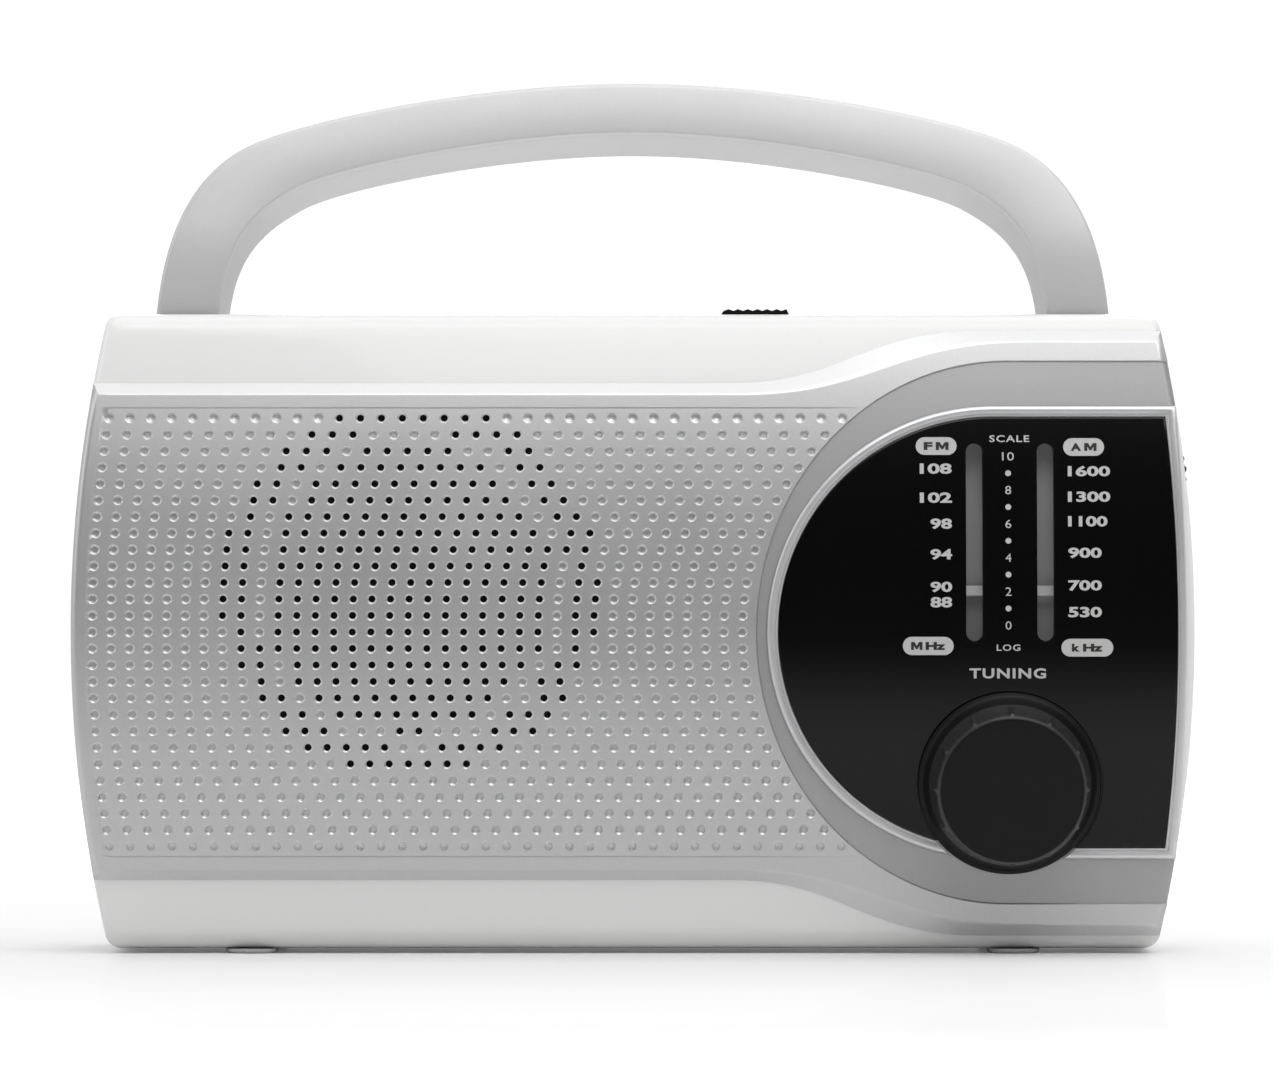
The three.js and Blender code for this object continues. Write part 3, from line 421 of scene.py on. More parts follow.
def surface_group():
    """Shared surface: a slow drift of tone, a fine grain, and a roughness that follows both."""
    group = bpy.data.node_groups.new("moulded_surface", "ShaderNodeTree")
    face = group.interface
    face.new_socket("Colour", in_out="INPUT", socket_type="NodeSocketColor")
    for name in ("Tone Scale", "Tone Spread", "Grain Scale", "Grain Spread", "Low Roughness",
                 "High Roughness"):
        face.new_socket(name, in_out="INPUT", socket_type="NodeSocketFloat")
    face.new_socket("Colour", in_out="OUTPUT", socket_type="NodeSocketColor")
    face.new_socket("Roughness", in_out="OUTPUT", socket_type="NodeSocketFloat")
    face.new_socket("Height", in_out="OUTPUT", socket_type="NodeSocketFloat")
    nodes, links = group.nodes, group.links
    given = nodes.new("NodeGroupInput")
    result = nodes.new("NodeGroupOutput")
    place = nodes.new("ShaderNodeTexCoord")

    def noise(scale, detail):
        node = nodes.new("ShaderNodeTexNoise")
        node.inputs["Detail"].default_value = detail
        links.new(place.outputs["Object"], node.inputs["Vector"])
        links.new(given.outputs[scale], node.inputs["Scale"])
        return node.outputs["Fac"]

    def spread(pattern, amount):
        about_zero = math_node(group, "SUBTRACT", pattern, 0.5)
        return math_node(group, "MULTIPLY", about_zero, given.outputs[amount])

    tone = noise("Tone Scale", 3)
    grain = noise("Grain Scale", 1)
    drift, speck = spread(tone, "Tone Spread"), spread(grain, "Grain Spread")
    factor = math_node(group, "ADD", math_node(group, "ADD", drift, speck), 1.0)
    scaled = nodes.new("ShaderNodeVectorMath")
    scaled.operation = "SCALE"
    links.new(given.outputs["Colour"], scaled.inputs[0])
    links.new(factor, scaled.inputs["Scale"])
    links.new(scaled.outputs[0], result.inputs["Colour"])
    gloss = nodes.new("ShaderNodeMapRange")
    links.new(tone, gloss.inputs["Value"])
    gloss.inputs["From Min"].default_value = 0.3
    gloss.inputs["From Max"].default_value = 0.7
    links.new(given.outputs["Low Roughness"], gloss.inputs["To Min"])
    links.new(given.outputs["High Roughness"], gloss.inputs["To Max"])
    links.new(gloss.outputs["Result"], result.inputs["Roughness"])
    links.new(grain, result.inputs["Height"])
    return group


moulded_surface = surface_group()


def surfaced(name, colour, roughness, metallic=0.0, tone=(30, 0.03), grain=(2500, 0.02),
             relief=0.00001, coat=0.0, specular=0.5):
    """A material on the shared surface: roughness is its lowest and highest, relief is in metres."""
    material = bpy.data.materials.new(name)
    material.use_nodes = True
    nodes, links = material.node_tree.nodes, material.node_tree.links
    shader = nodes["Principled BSDF"]
    shader.inputs["Metallic"].default_value = metallic
    shader.inputs["Coat Weight"].default_value = coat
    shader.inputs["Coat Roughness"].default_value = 0.06
    shader.inputs["Specular IOR Level"].default_value = specular
    surface = nodes.new("ShaderNodeGroup")
    surface.node_tree = moulded_surface
    surface.inputs["Colour"].default_value = (*colour, 1)
    surface.inputs["Tone Scale"].default_value, surface.inputs["Tone Spread"].default_value = tone
    surface.inputs["Grain Scale"].default_value, surface.inputs["Grain Spread"].default_value = grain
    surface.inputs["Low Roughness"].default_value = roughness[0]
    surface.inputs["High Roughness"].default_value = roughness[1]
    links.new(surface.outputs["Colour"], shader.inputs["Base Color"])
    links.new(surface.outputs["Roughness"], shader.inputs["Roughness"])
    bump = nodes.new("ShaderNodeBump")
    bump.inputs["Distance"].default_value = relief
    bump.inputs["Strength"].default_value = 0.5
    links.new(surface.outputs["Height"], bump.inputs["Height"])
    links.new(bump.outputs["Normal"], shader.inputs["Normal"])
    return material


def dress(piece, material, body, slot, *nodes):
    """Gives a piece its finish, hangs it on the body it moves with, and hides the engineering parts it
    replaces.
    """
    piece.data.materials.clear()
    piece.data.materials.append(material)
    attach(piece, body)
    if nodes:
        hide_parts(*nodes)


white_plastic = surfaced("white_plastic", (0.80, 0.80, 0.795), (0.20, 0.26), tone=(14, 0.02), coat=0.3)
dress(front_cabinet, white_plastic, "cabinet", "white_plastic", "front_cabinet")


# ---- Rear cover -----------------------------------------------------------------------------
# The white rear half: a deep tray with the battery well, the ledge for the antenna, the mains
# inlet, the headphone hole and four screw tunnels moulded in.
seam_gap = 0.15


def rear_block(inset, name):
    """The solid form of the rear half up to the deck, every wall moved in by the inset."""
    low, high, corner = bottom + inset, deck - inset, 0.6
    steps = 6
    bottom_round, end_round, top_round = 4.5, 3.5, 1.2
    start = parting + seam_gap if inset == 0 else parting - 1
    rings = [[(x, start, z) for x, z in barrel(inset, low, high, corner)]]
    for k in range(steps + 1):
        turn = math.pi / 2 * k / steps
        hold = 1 - math.cos(turn)
        ring = barrel(inset + end_round * hold, low + bottom_round * hold, high - top_round * hold, corner)
        radii = edge_radii(len(ring), bottom_round, end_round, top_round)
        rings.append([(x, back - inset - radius * (1 - math.sin(turn)), z)
                      for (x, z), radius in zip(ring, radii)])
    return swept(name, rings, ends=mirrored)


door_low, door_high = (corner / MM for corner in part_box("battery_door"))
well_left, well_right, well_floor, well_low, well_high = -60, 48, 11.3, 7.6, 60.6
door_seat, seat_clearance = 2.5, 0.4
inlet_low, inlet_high = (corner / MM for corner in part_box("mains_inlet"))
inlet_x, inlet_z = (inlet_low.x + inlet_high.x) / 2, (inlet_low.z + inlet_high.z) / 2
jack_low, jack_high = (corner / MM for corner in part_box("headphone_jack"))
jack_y, jack_z = (jack_low.y + jack_high.y) / 2, (jack_low.z + jack_high.z) / 2
mast_x, mast_y = 104.5, 37
rear_cover = rear_block(0, "rear_cover_moulding")
cavity = rear_block(wall, "cutter")
carve(cavity, block(-far, far, ledge_front - wall, far, ledge - wall, far),
      block(well_left - wall, well_right + wall, well_floor - wall, far, -far, well_high + wall))
carve(rear_cover, cavity, block(-far, far, ledge_front, far, ledge, far),
      block(well_left, well_right, well_floor, far, well_low, well_high),
      block(door_low.x, door_high.x, back - door_seat, far, door_low.z - seat_clearance, door_high.z))
for left, right in lug_places:
    ear = carve(lug(left, right), block(-far, far, -far, parting + seam_gap, 0, far))
    carve(rear_cover, ear, operation="UNION")
screw_places = [(-100, 14), (100, 14), (-104, 70), (104, 70)]
post_radius, tunnel_radius, shank_hole, tunnel_end = 5, 3.4, 1.7, 4
for x, z in screw_places:
    post = prism(round_outline(x, z, post_radius, steps=32), "y", parting + seam_gap, back - 1.2)
    carve(rear_cover, post, operation="UNION")
    carve(rear_cover, prism(round_outline(x, z, tunnel_radius, steps=32), "y", parting + tunnel_end, far),
          prism(round_outline(x, z, shank_hole, steps=24), "y", parting - 1, far))
carve(rear_cover, block(inlet_x - 8.6, inlet_x + 8.6, back - 6, far, inlet_z - 4.8, inlet_z + 4.8),
      prism(round_outline(jack_y, jack_z, 4.3, steps=40), "x", -far, -105),
      prism(round_outline(mast_x, mast_y, 2.6, steps=32), "z", ledge - 6, far),
      prism(round_outline(pivot_y, pivot_z, pin_hole, steps=24), "x", -far, far))
dress(rear_cover, white_plastic, "cabinet", "white_plastic", "rear_cover")

# ---- Grille panel ---------------------------------------------------------------------------
# The silver panel over the loudspeaker: painted plastic with rows of small dimples. A disc and a
# ring of them go right through. Sloping ledges lead down to the white bands above and below.
thickness = band_setback - 0.05
dial_x, dial_z = 73.2, 65.4
surround_x, surround_wide, surround_tall = 76, 50.8, 55


def curve_point(corners, t):
    """The point a share t of the way along a cubic curve with four control points."""
    weights = ((1 - t) ** 3, 3 * t * (1 - t) ** 2, 3 * t * t * (1 - t), t ** 3)
    return tuple(sum(w * p[k] for w, p in zip(weights, corners)) for k in range(2))


def ledge_line(right_z, left_z, right_from, left_to):
    """A ledge's edge from the right end to the left: straight, a long S-bend, straight."""
    right_end, left_end = side_x(right_z), -side_x(left_z)
    straight = [(right_end + (right_from - right_end) * i / 8, right_z) for i in range(8)]
    pull = (right_from - left_to) * 0.46
    corners = ((right_from, right_z), (right_from - pull, right_z), (left_to + pull, left_z),
               (left_to, left_z))
    bend = [curve_point(corners, i / 24) for i in range(24)]
    rest = [(left_to + (left_end - left_to) * i / 30, left_z) for i in range(31)]
    return straight + bend + rest


end_round, end_gap = 1.7, 0.12
upper_right, upper_left, upper_right_foot, upper_left_foot = 124.4, 113.6, 126.8, 116.1
lower_right, lower_left, lower_right_foot, lower_left_foot = 6.2, 17.2, 3.7, 15.1


def panel_rings():
    """Rings of the panel's edge, from its flat face out and down to its back."""
    inner, outer, depth, rounded = [], [], [], []

    def add(inside, outside, drop, is_round):
        inner.extend(inside)
        outer.extend(outside)
        depth.extend([drop] * len(inside))
        rounded.extend([is_round] * len(inside))

    def hold(x, z, gap):
        return (max(gap - side_x(z), min(side_x(z) - gap, x)), z)

    def ledge_pair(right_in, left_in, right_out, left_out):
        return ([hold(x, z, end_round) for x, z in ledge_line(right_in, left_in, 80, 22)],
                [hold(x, z, end_gap) for x, z in ledge_line(right_out, left_out, 70, 20)])

    upper_in, upper_out = ledge_pair(upper_right, upper_left, upper_right_foot, upper_left_foot)
    lower_in, lower_out = ledge_pair(lower_right, lower_left, lower_right_foot, lower_left_foot)
    drop = thickness - 0.05
    add(upper_in, upper_out, drop, False)
    steps = 26
    heights = [(upper_left + (lower_left - upper_left) * i / steps,
                upper_left_foot + (lower_left_foot - upper_left_foot) * i / steps)
               for i in range(1, steps)]
    add([(end_round - side_x(a), a) for a, b in heights], [(end_gap - side_x(b), b) for a, b in heights],
        drop, True)
    add(lower_in[::-1], lower_out[::-1], drop, False)
    add([(side_x(8) - end_round, 8)], [(side_x(7.5) - end_gap, 7.5)], drop, True)
    lip = 0.3
    low, high = dial_z - surround_tall, dial_z + surround_tall
    end_x = side_x(low) - end_round
    straight = [end_x + (surround_x - end_x) * i / 6 for i in range(6)]
    turns = [-math.pi / 2 - math.pi * i / 64 for i in range(65)]
    inside = [(x, low - lip) for x in straight]
    inside += [(surround_x + (surround_wide + lip) * math.cos(t),
                dial_z + (surround_tall + lip) * math.sin(t)) for t in turns]
    inside += [(x, high + lip) for x in reversed(straight)]
    outside = [(x, low) for x in straight]
    outside += [(surround_x + surround_wide * math.cos(t), dial_z + surround_tall * math.sin(t))
                for t in turns]
    outside += [(x, high) for x in reversed(straight)]
    outside[0] = (side_x(low) - end_gap, low)
    outside[-1] = (side_x(high) - end_gap, high)
    add(inside, outside, 0.5, False)
    add([(side_x(122.5) - end_round, 122.5)], [(side_x(123.5) - end_gap, 123.5)], drop, True)
    rings = []
    for k in range(5):
        t = k / 4
        ring = []
        for (xi, zi), (xo, zo), drop, is_round in zip(inner, outer, depth, rounded):
            out = math.sin(t * math.pi / 2) if is_round else t
            down = 1 - math.cos(t * math.pi / 2) if is_round else t
            ring.append((xi + (xo - xi) * out, zi + (zo - zi) * out, drop * down))
        rings.append(ring)
    rings.append([(x, z, thickness) for x, z, d in rings[-1]])
    return rings


def flat_fill(outline, holes, extra):
    """Triangles inside an outline of (x, z) points and outside its convex holes."""
    points, edges, owner = [], [], []
    for number, ring in enumerate([outline] + holes):
        start = len(points)
        points += [Vector(point) for point in ring]
        owner += [number] * len(ring)
        edges += [(start + i, start + (i + 1) % len(ring)) for i in range(len(ring))]
    points += [Vector(point) for point in extra]
    owner += [-1] * len(extra)
    result = delaunay_2d_cdt(points, edges, [], 1, 1e-6)
    source = [found[0] if found else None for found in result[3]]
    triangles = []
    for face in result[2]:
        corners = [source[i] for i in face]
        owners = {owner[i] for i in corners}
        if len(owners) == 1 and min(owners) > 0:
            continue
        triangles.append(tuple(corners))
    return triangles


def inside_outline(outline, x, z):
    """Whether a point lies within an outline."""
    inside = False
    for (x0, z0), (x1, z1) in zip(outline, outline[1:] + outline[:1]):
        if (z0 > z) != (z1 > z) and x < x0 + (z - z0) / (z1 - z0) * (x1 - x0):
            inside = not inside
    return inside


def grid_points(outline, holes, step, keep_off):
    """Points spread over an outline, clear of its edge and its holes, so the plate bends smoothly."""
    cells, cell = {}, 4
    many = 20
    for ring, gap in [(outline, step * 0.4)] + [(hole, 0) for hole in holes]:
        if gap:
            spots = [(x, z, gap) for x, z in ring]
        else:
            mid = (sum(p[0] for p in ring) / len(ring), sum(p[1] for p in ring) / len(ring))
            spots = [(x, z, 0.4) for x, z in ring] if len(ring) > many else [(*mid, keep_off)]
        for x, z, gap in spots:
            cells.setdefault((int(x // cell), int(z // cell)), []).append((x, z, gap))
    big = [hole for hole in holes if len(hole) > many]
    xs = [x for x, z in outline]
    zs = [z for x, z in outline]
    found = []
    for i in range(int((max(xs) - min(xs)) / (step * 0.9)) + 1):
        x = min(xs) + i * step * 0.9
        for j in range(int((max(zs) - min(zs)) / step) + 2):
            z = min(zs) + j * step + (step / 2 if i % 2 else 0)
            near = [spot for a in (-1, 0, 1) for b in (-1, 0, 1)
                    for spot in cells.get((int(x // cell) + a, int(z // cell) + b), ())]
            if any((px - x) ** 2 + (pz - z) ** 2 < gap * gap for px, pz, gap in near):
                continue
            if inside_outline(outline, x, z) and not any(inside_outline(hole, x, z) for hole in big):
                found.append((x, z))
    return found


def inlay(name, rings, through=(), blind=(), step=3.5, lift=0.0, sink=None, sharp=30, also=()):
    """A plate bent to the curved face. The rings hold (x, z, depth) points, from the face inwards:
    of the plate's edge, of holes through to its back, and of dimples."""
    groups = [rings, *through, *blind]
    points, faces, starts = [], [], []

    def put(ring):
        start = len(points)
        for x, z, d in ring:
            low = sink(x, z) * max(0, 1 - d / thickness) if sink else 0
            points.append((x, face_y(z, lift + d + low), z))
        return start

    for group in groups:
        first = [put(ring) for ring in group]
        starts.append(first)
        count = len(group[0])
        for a, b in zip(first, first[1:]):
            faces.extend((a + i, a + (i + 1) % count, b + (i + 1) % count, b + i) for i in range(count))
    for group, first in zip(blind, starts[1 + len(through):]):
        count = len(group[0])
        x = sum(p[0] for p in group[-1]) / count
        z = sum(p[1] for p in group[-1]) / count
        centre = put([(x, z, group[-1][0][2])])
        faces.extend((first[-1] + i, first[-1] + (i + 1) % count, centre) for i in range(count))
    flat = [[(x, z) for x, z, d in group[0]] for group in groups]
    extra = [spot for spot in grid_points(flat[0], flat[1:], step, 1.8)
             if all(math.dist(spot, other) > 1.2 for other in also)]
    extra += [spot for spot in also if inside_outline(flat[0], *spot)
              and min(math.dist(spot, corner) for corner in flat[0]) > 0.6]
    order = [first[0] + i for group, first in zip(groups, starts) for i in range(len(group[0]))]
    extra_start = put([(x, z, 0.0) for x, z in extra])
    order.extend(range(extra_start, extra_start + len(extra)))
    faces.extend(tuple(order[i] for i in corners) for corners in flat_fill(flat[0], flat[1:], extra))
    open_groups = groups[:1 + len(through)]
    behind = [[(x, z) for x, z, d in group[-1]] for group in open_groups]
    back_order = [first[-1] + i for group, first in zip(open_groups, starts) for i in range(len(group[0]))]
    faces.extend(tuple(back_order[i] for i in corners) for corners in flat_fill(behind[0], behind[1:], []))
    return mesh_piece(name, points, faces, sharp)


def dimple(x, z, levels, steps=12):
    """Rings of a hole, from its widest at the face inwards: (radius, depth) pairs."""
    return [[(x + radius * math.cos(2 * math.pi * (i + 0.5) / steps),
              z + radius * math.sin(2 * math.pi * (i + 0.5) / steps), depth) for i in range(steps)]
            for radius, depth in levels]


rows, columns, row_pitch, top_row = 27, 36, 3.34, 108.9
sound_radius = 38.6
dots_wide, dots_tall = 51, 53
first_dot = 4.6
hole_levels = [(1.08, 0), (0.78, 0.22), (0.72, 0.3), (0.72, thickness)]
dimple_levels = [(1.08, 0), (0.76, 0.24), (0.68, 0.75), (0.55, 0.85)]
outer_row_depth = 0.6
through_holes, blind_holes = [], []
for row in range(rows):
    z = top_row - row * row_pitch
    left = first_dot - side_x(z)
    off = z - dial_z
    right = dial_x - dots_wide * math.sqrt(1 - (off / dots_tall) ** 2) - max(0, abs(off) - 36) * 0.2
    for column in range(columns):
        x = left + (right - left) * column / (columns - 1)
        reach_out = math.hypot(x - speaker_x, z - speaker_z) / sound_radius
        if reach_out < 0.76 or 0.842 < reach_out < 1:
            through_holes.append(dimple(x, z, hole_levels))
        else:
            shallow = outer_row_depth if row in (0, rows - 1) else 1.0
            blind_holes.append(dimple(x, z, [(radius, depth * shallow) for radius, depth in dimple_levels]))


zone_low, zone_high, zone_side, zone_depth, zone_fade = 19.9, 111, 3.2, 0.14, 20


def zone_step(x, z):
    """The dotted field lies a little below the rest of the panel, fading out beside the dial."""
    if not zone_low < z < zone_high or x < zone_side - side_x(z):
        return 0.0
    arc = dial_x - dots_wide * math.sqrt(max(0, 1 - ((z - dial_z) / dots_tall) ** 2))
    return zone_depth * max(0, min(1, (arc + 2 - x) / zone_fade))


zone_edge = []
edge_pitch, edge_start = 1.7, -108
for side in (-0.15, 0.15):
    zone_edge += [(i * edge_pitch + edge_start, zone_high + side) for i in range(100)]
    zone_edge += [(i * edge_pitch + edge_start, zone_low + side) for i in range(100)]
    zone_edge += [(zone_side + side - side_x(21 + edge_pitch * i), 21 + edge_pitch * i) for i in range(53)]
grille_panel = inlay("grille_panel_moulding", panel_rings(), through_holes, blind_holes, sink=zone_step,
                     also=zone_edge)


def true_face(piece, lift):
    """Points the shading of a plate's flat exactly along the curved face, so reflections run smoothly."""
    mesh = piece.data
    normals = [(0, 0, 0)] * len(mesh.loops)
    for polygon in mesh.polygons:
        tilt = math.asin((polygon.center.z / MM - middle) / face_radius)
        if polygon.normal.angle(Vector((0, -math.cos(tilt), math.sin(tilt)))) > 0.05:
            continue
        for index in polygon.loop_indices:
            spot = mesh.vertices[mesh.loops[index].vertex_index].co / MM
            if -0.02 < spot.y - face_y(spot.z, lift) < 0.2:
                tilt = math.asin((spot.z - middle) / face_radius)
                normals[index] = (0, -math.cos(tilt), math.sin(tilt))
    mesh.normals_split_custom_set(normals)


true_face(grille_panel, 0)
silver_paint = surfaced("silver_paint", (0.58, 0.58, 0.585), (0.34, 0.42), metallic=0.7, tone=(22, 0.02),
                        grain=(3200, 0.10), relief=0.00002)
dress(grille_panel, silver_paint, "cabinet", "silver_paint", "grille_panel")

# ---- Dial surround, bead and lens -----------------------------------------------------------
# A dark silver frame, a bright bead and a black acrylic lens with two slots for the pointer, all
# bent to the face and cut away in a dish behind the tuning knob.
lens_radius, bead_radius = 43.7, 46


def dial_outline(radius, corner_x, bulge_x, arc_steps=96, side_steps=26, straight_steps=9):
    """The dial's D: half a circle on the left, straight above and below, a slight bulge right."""
    low, high = dial_z - radius, dial_z + radius
    outline = []
    for i in range(arc_steps):
        turn = math.pi * (0.5 + i / arc_steps)
        outline.append((dial_x + radius * math.cos(turn), dial_z + radius * math.sin(turn)))
    for i in range(straight_steps):
        outline.append((dial_x + (corner_x - dial_x) * i / straight_steps, low))
    for i in range(side_steps + 1):
        t = i / side_steps
        outline.append((corner_x + 4 * (bulge_x - corner_x) * t * (1 - t), low + (high - low) * t))
    for i in range(1, straight_steps):
        outline.append((corner_x + (dial_x - corner_x) * i / straight_steps, high))
    return outline


def surround_rings():
    """Rings of the dark frame's edge, from its flat face down to its back."""
    inner_radius = bead_radius + 0.05
    low, high = dial_z - surround_tall, dial_z + surround_tall
    outline = [(side_x(high) + (surround_x - side_x(high)) * i / 6, high) for i in range(6)]
    for i in range(65):
        turn = math.pi * (0.5 + i / 64)
        outline.append((surround_x + surround_wide * math.cos(turn), dial_z + surround_tall * math.sin(turn)))
    outline += [(surround_x + (side_x(low) - surround_x) * i / 6, low) for i in range(1, 7)]
    near, away = dial_z - inner_radius, dial_z + inner_radius
    outline += [(side_x(near) + (dial_x - side_x(near)) * i / 8, near) for i in range(8)]
    for i in range(97):
        turn = math.pi * (1.5 - i / 96)
        outline.append((dial_x + inner_radius * math.cos(turn), dial_z + inner_radius * math.sin(turn)))
    outline += [(dial_x + (side_x(away) - dial_x) * i / 8, away) for i in range(1, 9)]
    edge = ((1.7, 0), (0.9, 0.15), (0.35, 0.55), (0.15, 1.0), (0.15, 1.15))
    return [[(min(x, side_x(z) - gap), z, depth) for x, z in outline] for gap, depth in edge]


dial_surround = inlay("dial_surround_moulding", surround_rings(), lift=0.4, step=4)
dish_radius, dish_floor = 19.0, 0.15
carve(dial_surround, knob_drill(dish_radius, -30, dish_floor), sharp=30)
true_face(dial_surround, 0.4)
dark_silver = surfaced("dark_silver", (0.40, 0.40, 0.405), (0.42, 0.5), metallic=0.6, tone=(25, 0.03),
                       grain=(3000, 0.12), relief=0.00002)
dress(dial_surround, dark_silver, "cabinet", "dark_silver", "dial_surround")

bead_section = [(0, 1.5), (0, 0.0), (0.04, -0.35), (0.14, -0.6), (0.28, -0.7), (0.44, -0.66), (0.7, -0.42),
                (0.73, -0.2), (0.78, -0.2), (0.81, -0.4), (0.95, -0.34), (1, -0.15), (1, 1.5)]
outer_line = dial_outline(bead_radius, 110.3, 112.2)
inner_line = dial_outline(lens_radius + 0.05, 108.05, 110.45)
bead_points = []
for share, depth in bead_section:
    for (xo, zo), (xi, zi) in zip(outer_line, inner_line):
        x, z = xo + (xi - xo) * share, zo + (zi - zo) * share
        bead_points.append((x, face_y(z, depth), z))
bead_count = len(outer_line)
bead_faces = skin([outer_line] * len(bead_section))
last_ring = (len(bead_section) - 1) * bead_count
bead_faces += [(last_ring + i, last_ring + (i + 1) % bead_count, (i + 1) % bead_count, i)
               for i in range(bead_count)]
dial_bead = mesh_piece("dial_bead_ring", bead_points, bead_faces, 40)
carve(dial_bead, knob_drill(dish_radius, -30, dish_floor), sharp=40)
bright_trim = surfaced("bright_trim", (0.66, 0.66, 0.67), (0.32, 0.4), metallic=0.6, tone=(30, 0.02),
                       grain=(3000, 0.04))
dress(dial_bead, bright_trim, "cabinet", "bright_trim", "dial_bead")

slot_low, slot_high, slot_half = 63.7, 103.7, 1.65
slot_columns = (69.2, 83.6)


def slot_ring(x, half, depth):
    """The outline of a slot with round ends."""
    low, high = slot_low + slot_half, slot_high - slot_half
    ring = [(x + half * math.cos(math.pi * i / 10), high + half * math.sin(math.pi * i / 10), depth)
            for i in range(11)]
    ring += [(x - half, high + (low - high) * i / 10, depth) for i in range(1, 10)]
    ring += [(x - half * math.cos(math.pi * i / 10), low - half * math.sin(math.pi * i / 10), depth)
             for i in range(11)]
    return ring + [(x + half, low + (high - low) * i / 10, depth) for i in range(1, 10)]


lens_lift, lens_back = -0.3, 1.8
lens_edge = [[(x, z, depth) for x, z in dial_outline(lens_radius - gap, 108 - gap, 110.4 - gap)]
             for gap, depth in ((0.3, 0), (0.08, 0.08), (0, 0.3), (0, lens_back))]
lens_slots = [[slot_ring(x, slot_half + 0.15, 0), slot_ring(x, slot_half, 0.15),
               slot_ring(x, slot_half, lens_back)] for x in slot_columns]
dial_lens = inlay("dial_lens_acrylic", lens_edge, lens_slots, lift=lens_lift, step=4)
carve(dial_lens, knob_drill(dish_radius, -30, dish_floor), knob_drill(spindle_hole, -30, 12), sharp=30)
true_face(dial_lens, lens_lift)
black_gloss = surfaced("black_gloss", (0.002, 0.002, 0.0021), (0.14, 0.17), tone=(20, 0.1),
                       grain=(2000, 0.05), relief=0.000002, specular=0.3)
dress(dial_lens, black_gloss, "cabinet", "black_gloss", "dial_lens")


# ---- Dial printing --------------------------------------------------------------------------
# Pale ink on the lens: the two wave bands with their frequencies, the logging scale between the
# slots, and light tabs with dark letters. A few hundredths of a millimetre thick.
class Ink:
    """Collects printed shapes, laid on the lens."""

    def __init__(self, height):
        self.height = height
        self.points, self.faces = [], []

    def lay(self, points, faces):
        """Adds (x, z, top) points: top is 1 on the ink's surface and 0 below it."""
        start = len(self.points)
        for x, z, raised in points:
            self.points.append((x, face_y(z, lens_lift) - 0.005 - self.height * raised, z))
        self.faces += [tuple(start + i for i in face) for face in faces]

    def letters(self, words, x, z, height, width, side="middle", bold=0.035):
        curve = bpy.data.curves.new("letters", "FONT")
        curve.body = words
        curve.offset = bold
        curve.extrude = 0.01
        curve.resolution_u = 3
        curve.space_character = 1.15 if words.isalpha() and len(words) > 2 else 1.0
        object_ = bpy.data.objects.new("letters", curve)
        bpy.context.scene.collection.objects.link(object_)
        mesh = bpy.data.meshes.new_from_object(object_.evaluated_get(bpy.context.evaluated_depsgraph_get()))
        bpy.data.objects.remove(object_)
        low = [min(v.co[k] for v in mesh.vertices) for k in range(2)]
        high = [max(v.co[k] for v in mesh.vertices) for k in range(2)]
        start = {"middle": x - width / 2, "left": x, "right": x - width}[side]
        points = [(start + (v.co.x - low[0]) / (high[0] - low[0]) * width,
                   z - height / 2 + (v.co.y - low[1]) / (high[1] - low[1]) * height,
                   1 if v.co.z > 0 else 0) for v in mesh.vertices]
        self.lay(points, [tuple(face.vertices) for face in mesh.polygons])

    def tab(self, x0, x1, z0, z1, steps=12):
        """A bar with round ends."""
        half = (z1 - z0) / 2
        mid = (z0 + z1) / 2
        ring = [(x1 - half + half * math.cos(math.pi * (i / steps - 0.5)),
                 mid + half * math.sin(math.pi * (i / steps - 0.5))) for i in range(steps + 1)]
        ring += [(x0 + half - half * math.cos(math.pi * (i / steps - 0.5)),
                  mid - half * math.sin(math.pi * (i / steps - 0.5))) for i in range(steps + 1)]
        self.flat(ring)

    def flat(self, ring):
        """Adds a filled outline."""
        self.lay([(x, z, raised) for raised in (0, 1) for x, z in ring], capped([ring, ring]))

    def print_on(self, name):
        return mesh_piece(name, self.points, self.faces, 30)


pale = Ink(0.03)
for words, z in (("108", 98.6), ("102", 92.7), ("98", 87.4), ("94", 81.2), ("90", 74.6), ("88", 71.5)):
    pale.letters(words, 64.7, z, 2.15, 6.5 if len(words) == 3 else 4.4, "right")
for words, z in (("1600", 98.1), ("1300", 92.9), ("1100", 87.9), ("900", 81.5), ("700", 74.9),
                 ("530", 69.5)):
    pale.letters(words, 88.2, z, 2.15, {"1600": 8.6, "1300": 8.6, "1100": 8.0}.get(words, 6.8), "left")
scale_x, scale_top, scale_pitch = 76.1, 101.1, 3.43
for step in range(11):
    z = scale_top - scale_pitch * step
    if step % 2:
        pale.flat(round_outline(scale_x, z, 0.6, steps=16))
    else:
        number = str(10 - step)
        pale.letters(number, scale_x, z, 1.7, 1.2 if len(number) == 1 else 2.4, bold=0.0)
pale.letters("SCALE", 76.4, 104.7, 1.4, 8.1, bold=0.015)
pale.letters("LOG", 76.1, 62.3, 1.3, 4.8, bold=0.015)
pale.letters("TUNING", 75.95, 57.1, 2.1, 15.5, bold=0.03)
bold_m = [(0, 0), (0, 1), (0.3, 1), (0.5, 0.52), (0.7, 1), (1, 1), (1, 0), (0.75, 0), (0.75, 0.55),
          (0.58, 0.1), (0.42, 0.1), (0.25, 0.55), (0.25, 0)]
tabs = ((("F", 1.8), ("M", 2.6), 57.4, 65.7, 101.4, 105.0),
        (("M", 2.3), ("Hz", 4.0), 54.7, 65.0, 60.8, 64.5),
        (("A", 2.1), ("M", 2.5), 87.3, 95.6, 101.2, 104.8),
        (("k", 1.6), ("Hz", 4.0), 86.8, 97.3, 60.5, 64.1))
dark = Ink(0.06)
letter_gap, letter_height = 0.65, 1.6
